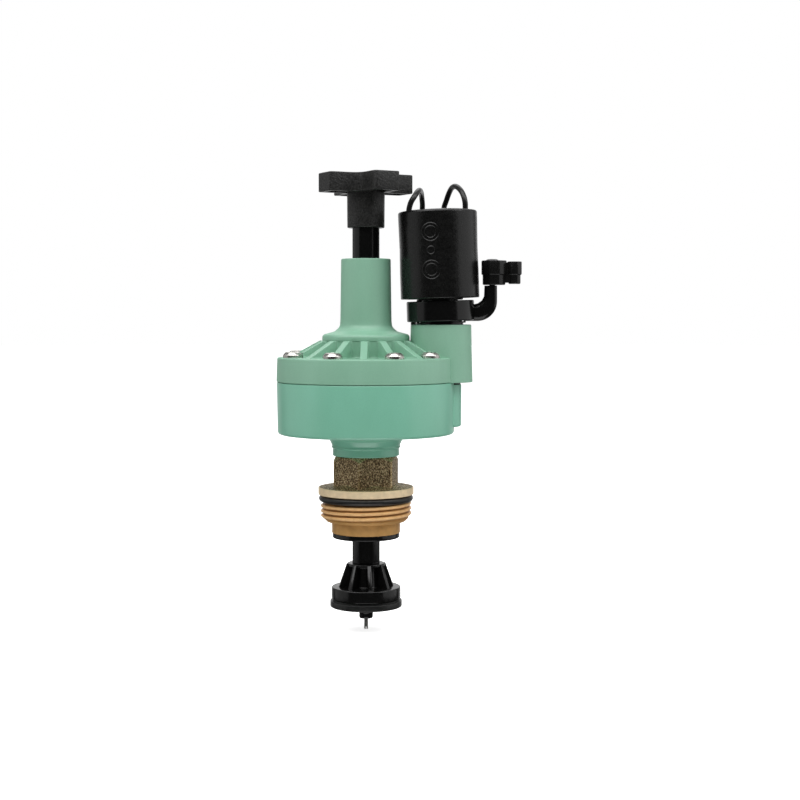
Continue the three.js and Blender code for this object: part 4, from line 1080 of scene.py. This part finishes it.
def raised_ring(height, r, section_r):
    """A low raised ring on the case's front, wrapped round it."""
    sunk = 0.24

    def on_case(across, up):
        turn = across / CASE_R - math.radians(12)
        out = np.array([math.sin(turn), -math.cos(turn), 0])
        return out * (CASE_R - sunk) + [0, 0, height + up], out

    rings = []
    middle, _ = on_case(0, 0)
    for a in np.arange(48) * math.tau / 48:
        point, out = on_case(r * math.cos(a), r * math.sin(a))
        away = (point - middle) / np.linalg.norm(point - middle)
        rings.append([point + section_r * (out * math.cos(b) + away * math.sin(b))
                      for b in np.arange(8) * math.tau / 8])
    return skin(rings, closed=True)


def solenoid_case():
    cavity_r, cavity_top = 14.6, 45.2
    shell = turned([
        (0, cavity_top), (cavity_r, cavity_top, 0.5), (cavity_r, CASE_LOW, 0.2),
        (CASE_R - 0.1, CASE_LOW, 0.5), (CASE_R - 0.1, 22.0), (CASE_R - 0.25, 32.0), (CASE_R - 0.05, 44.0),
        (CASE_R - 0.05, CASE_HIGH - 0.6, 0.9), (13.0, CASE_HIGH - 0.05, 6.0), (0, CASE_HIGH),
    ], False)
    marks = [raised_ring(h, r, 0.27) for h, r in ((38.2, 3.7), (30.7, 1.6), (22.7, 3.8))]
    marks += [raised_ring(h, r, 0.25) for h, r in ((38.2, 2.4), (22.7, 2.5))]
    join(shell, *marks)
    sockets = [post(1.5, 45.9, 49.5, x, y, 40) for x, y in LEAD_SOCKETS]
    return moved(cut(shell, *sockets), LEANING)


finished(solenoid_case(), "solenoid_cover", "housing", CASE)
adapter = turned([
    (0.8, -11), (ADAPTER_R, -11, 0.4), (ADAPTER_R, -3.4), (8.2, -3.4), (8.2, -1.9), (ADAPTER_R, -1.9),
    (ADAPTER_R, 0.45), (10.5, 0.45, 0.2), (10.5, 1.1, 0.2), (9.0, 1.1), (9.0, 9.6), (7.5, 9.6), (7.5, 16.0),
    (5.2, 16.0), (5.2, 3.8), (2.2, 3.8), (1.4, 5.0), (0.8, 5.0),
])
finished(moved(adapter, LEANING), "solenoid_adapter", "housing", GLOSS)
base = turned([(7.8, 10.2), (9.6, 10.2, 0.2), (9.6, 11.2), (14.3, 11.2, 0.3), (14.3, 15.5), (7.8, 15.5)])
finished(moved(base, LEANING), "solenoid_base", "housing", KNOB)
plunger_coil = moved(spring(mean_r=2.1, wire=0.6, low=21.0, high=PLUNGER_SPRING_TOP, turns=5), LEANING)
plunger_coil = finished(plunger_coil, "plunger_spring", "housing", SPRING)
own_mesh(plunger_coil)

# ---- bleed arm, its handle and stem ----
ARM_DEPTH = 2.7
HANDLE_X = 53.0
HANDLE_LOW_Z, HANDLE_PARTING_Z, HANDLE_HIGH_Z = 87.8, 92.0, 98.0
STEM_HOLE_R = 1.6


def arm_side(points, count):
    """Points evenly spaced along a polyline of (x, z)."""
    points = np.array(points, float)
    run = np.concatenate([[0], np.cumsum(np.linalg.norm(np.diff(points, axis=0), axis=1))])
    at = np.linspace(0, run[-1], count)
    return np.stack([np.interp(at, run, points[:, 0]), np.interp(at, run, points[:, 1])], axis=1)


def bleed_arm():
    """A collar round the solenoid's neck, with a round-sided arm that leaves it and turns up."""
    bend_x, bend_z, bend_r = 46.8, 80.9, 8.25
    bend = [(bend_x + bend_r * math.sin(a), bend_z - bend_r * math.cos(a))
            for a in np.linspace(0, math.pi / 2, 16)]
    outer = arm_side([(41.0, 72.65)] + bend + [(55.05, 87.5)], 40)
    inner = arm_side([(41.0, 79.7), (45.2, 79.7), (46.9, 80.1), (48.6, 81.3), (49.5, 83.0), (49.7, 87.5)], 40)
    fullness = 0.72  # 1 would be an ellipse, 0 a rectangle
    rings = []
    for (ox, oz), (ix, iz) in zip(outer, inner):
        middle = np.array([(ox + ix) / 2, (oz + iz) / 2])
        half = np.array([(ox - ix) / 2, (oz - iz) / 2])
        ring = []
        for k in range(40):
            a = k * math.tau / 40
            c, s = math.cos(a), math.sin(a)
            c, s = math.copysign(abs(c) ** fullness, c), math.copysign(abs(s) ** fullness, s)
            ring.append((middle[0] + half[0] * c, ARM_DEPTH * s, middle[1] + half[1] * c))
        rings.append(ring)
    collar = moved(turned([
        (9.3, 1.4, 0.2), (14.2, 1.4, 0.5), (14.2, 9.9, 0.5), (9.3, 9.9, 0.2),
    ]), LEANING)
    arm = join(collar, skin(rings))
    inside = moved(post(9.3, -2, 14, facets=ROUND), LEANING)
    stem_hole = post(STEM_HOLE_R, 79.5, 90, HANDLE_X, facets=32)
    seal_seat = post(2.25, 85.0, 90, HANDLE_X, facets=32)
    return cut(arm, inside, stem_hole, seal_seat)


finished(bleed_arm(), "bleed_arm", "bleed_arm", GLOSS)


def facetted(x, apothem, inset):
    """Octagonal plan with bevelled corners about (x, 0)."""
    bevel = 0.35
    points = []
    flat = apothem - inset
    half = flat * math.tan(math.pi / 8) - bevel
    for k in range(8):
        a = k * math.pi / 4
        for along in (-half, half):
            points.append((x + flat * math.cos(a) - along * math.sin(a),
                           flat * math.sin(a) + along * math.cos(a)))
    return points


def bleed_handle():
    """Two facetted grips joined by a web, smaller below a parting line."""
    low, parting, high = HANDLE_LOW_Z, HANDLE_PARTING_Z, HANDLE_HIGH_Z
    lower_inset = 0.5

    def grip(x, apothem, top, bottom):
        upper = prism(lambda inset: facetted(x, apothem, inset), [
            (parting - 0.1, 0.42), (parting + 0.3, 0.0), (top - 0.35, 0.0), (top - 0.1, 0.1), (top, 0.35)])
        lower = prism(lambda inset: facetted(x, apothem, inset), [
            (bottom, lower_inset + 0.3), (bottom + 0.3, lower_inset), (parting + 0.1, lower_inset)])
        return upper, lower

    first = grip(53.7, 5.2, high, low)
    second = grip(62.3, 3.0, high - 0.4, low + 0.4)
    web = prism(lambda inset: [(55, -1.5), (62, -1.5), (62, 1.5), (55, 1.5)],
                [(low + 0.9, 0), (high - 0.8, 0)])
    whole = join(*first, *second, web)
    return cut(whole, post(STEM_HOLE_R, 80, 100, HANDLE_X, facets=32))


finished(bleed_handle(), "bleed_handle", "bleed_handle", HANDLE, sharp=25)
bleed_stem = turned([
    (0, 80.2), (0.9, 80.2), (1.3, 81.2), (1.3, HANDLE_HIGH_Z), (2.6, HANDLE_HIGH_Z, 0.1), (2.6, 98.25, 0.2),
    (1.8, 98.6, 1.0), (0, 98.7),
], False, SMALL, HANDLE_X)
finished(bleed_stem, "bleed_stem", "bleed_handle", HANDLE)

# ---- inner pieces keep their frame shape and take their materials ----
INNER_LOOKS = {
    "adapter_o_ring": RUBBER, "solenoid_o_ring": RUBBER, "stem_o_ring": RUBBER, "bleed_o_ring": RUBBER,
    "plunger_seal": RUBBER, "upper_plate": STEEL, "lower_plate": STEEL, "diaphragm_nut": STEEL,
    "core_tube": STEEL, "pole_piece": STEEL, "plunger": STEEL, "coil_winding": COPPER,
    "coil_bobbin": NATURAL, "thrust_pad": NATURAL,
}
for node, look in INNER_LOOKS.items():
    for material_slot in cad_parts[node].material_slots:
        material_slot.material = look

# ---- floor, lights and surroundings ----
FLOOR_Z = CAD_BOX[0].z - 0.0005
floor_mesh = bmesh.new()
FLOOR_R = 6.0  # metres
bmesh.ops.create_circle(floor_mesh, cap_ends=True, segments=96, radius=FLOOR_R)
floor = shown(floor_mesh, "floor")
floor.location.z = FLOOR_Z
pale = Look("floor")
pale.color(pale.ramp(pale.noise(400, 2), (0.3, srgb(244, 244, 243)), (0.7, srgb(248, 248, 247))))
pale.shader.inputs["Roughness"].default_value = 0.9
pale.shader.inputs["Emission Color"].default_value = (1, 1, 1, 1)
near = pale.nodes.new("ShaderNodeTexGradient")
near.gradient_type = "SPHERICAL"
pale.links.new(pale.place, near.inputs["Vector"])
glow = pale.range(near.outputs["Fac"], 1.0, 0.7, 0.7, 0.95)
pale.links.new(glow, pale.shader.inputs["Emission Strength"])
floor.data.materials.append(pale.material)
floor.visible_glossy = floor.visible_diffuse = floor.visible_shadow = False


def soft_box(name, azimuth, elevation, distance, width, height, radiance):
    """A rectangular soft box that faces the middle of the part."""
    light = bpy.data.lights.new(name, "AREA")
    light.shape = "RECTANGLE"
    light.size, light.size_y = width, height
    light.energy = radiance * math.pi * width * height
    box = bpy.data.objects.new(name, light)
    a, e = math.radians(azimuth), math.radians(elevation)
    middle = Vector((0.01, 0, 0.04))
    away = Vector((math.sin(a) * math.cos(e), -math.cos(a) * math.cos(e), math.sin(e)))
    box.location = middle + away * distance
    box.rotation_mode = "QUATERNION"
    box.rotation_quaternion = away.to_track_quat("Z", "Y")
    bpy.context.scene.collection.objects.link(box)


soft_box("soft_box_left", -92, 13, 0.9, 1.25, 1.1, 0.38)
soft_box("soft_box_right", 92, 15, 0.9, 1.25, 1.1, 0.6)
soft_box("soft_box_top", -6, 62, 1.1, 1.3, 0.9, 2.9)
soft_box("fill_left", -66, 40, 1.0, 0.5, 0.5, 2.0)
soft_box("fill_right", 66, 40, 1.0, 0.5, 0.5, 2.8)
soft_box("fill_low", 0, -50, 0.8, 0.9, 0.5, 1.25)
soft_box("floor_glow", 0, -86, 0.6, 0.7, 0.7, 0.7)
soft_box("soft_box_back", 180, 55, 1.2, 1.2, 0.8, 1.6)

world = bpy.data.worlds.new("surroundings")
bpy.context.scene.world = world
world.use_nodes = True
sky = world.node_tree


def sky_node(kind, **values):
    node = sky.nodes.new(kind)
    for key, value in values.items():
        node.inputs[key.replace("_", " ")].default_value = value
    return node


# a white backdrop for the camera and, behind the part, for reflections; a dim room elsewhere
path = sky.nodes.new("ShaderNodeLightPath")
direction = sky.nodes.new("ShaderNodeSeparateXYZ")
sky.links.new(sky.nodes.new("ShaderNodeTexCoord").outputs["Generated"], direction.inputs["Vector"])
behind = sky_node("ShaderNodeMapRange", From_Min=0.72, From_Max=0.93, To_Min=0.04, To_Max=0.8)
sky.links.new(direction.outputs["Y"], behind.inputs["Value"])
strength = sky_node("ShaderNodeMix", A=0.3)
sky.links.new(path.outputs["Is Glossy Ray"], strength.inputs["Factor"])
sky.links.new(behind.outputs["Result"], strength.inputs["B"])
around = sky.nodes["Background"]
around.inputs["Color"].default_value = (1, 1, 1, 1)
sky.links.new(strength.outputs["Result"], around.inputs["Strength"])
seen = sky_node("ShaderNodeBackground", Color=(1, 1, 1, 1), Strength=1.0)
choose = sky.nodes.new("ShaderNodeMixShader")
sky.links.new(path.outputs["Is Camera Ray"], choose.inputs["Fac"])
sky.links.new(around.outputs["Background"], choose.inputs[1])
sky.links.new(seen.outputs["Background"], choose.inputs[2])
sky.links.new(choose.outputs["Shader"], sky.nodes["World Output"].inputs["Surface"])
bpy.context.scene.view_settings.view_transform = "Standard"
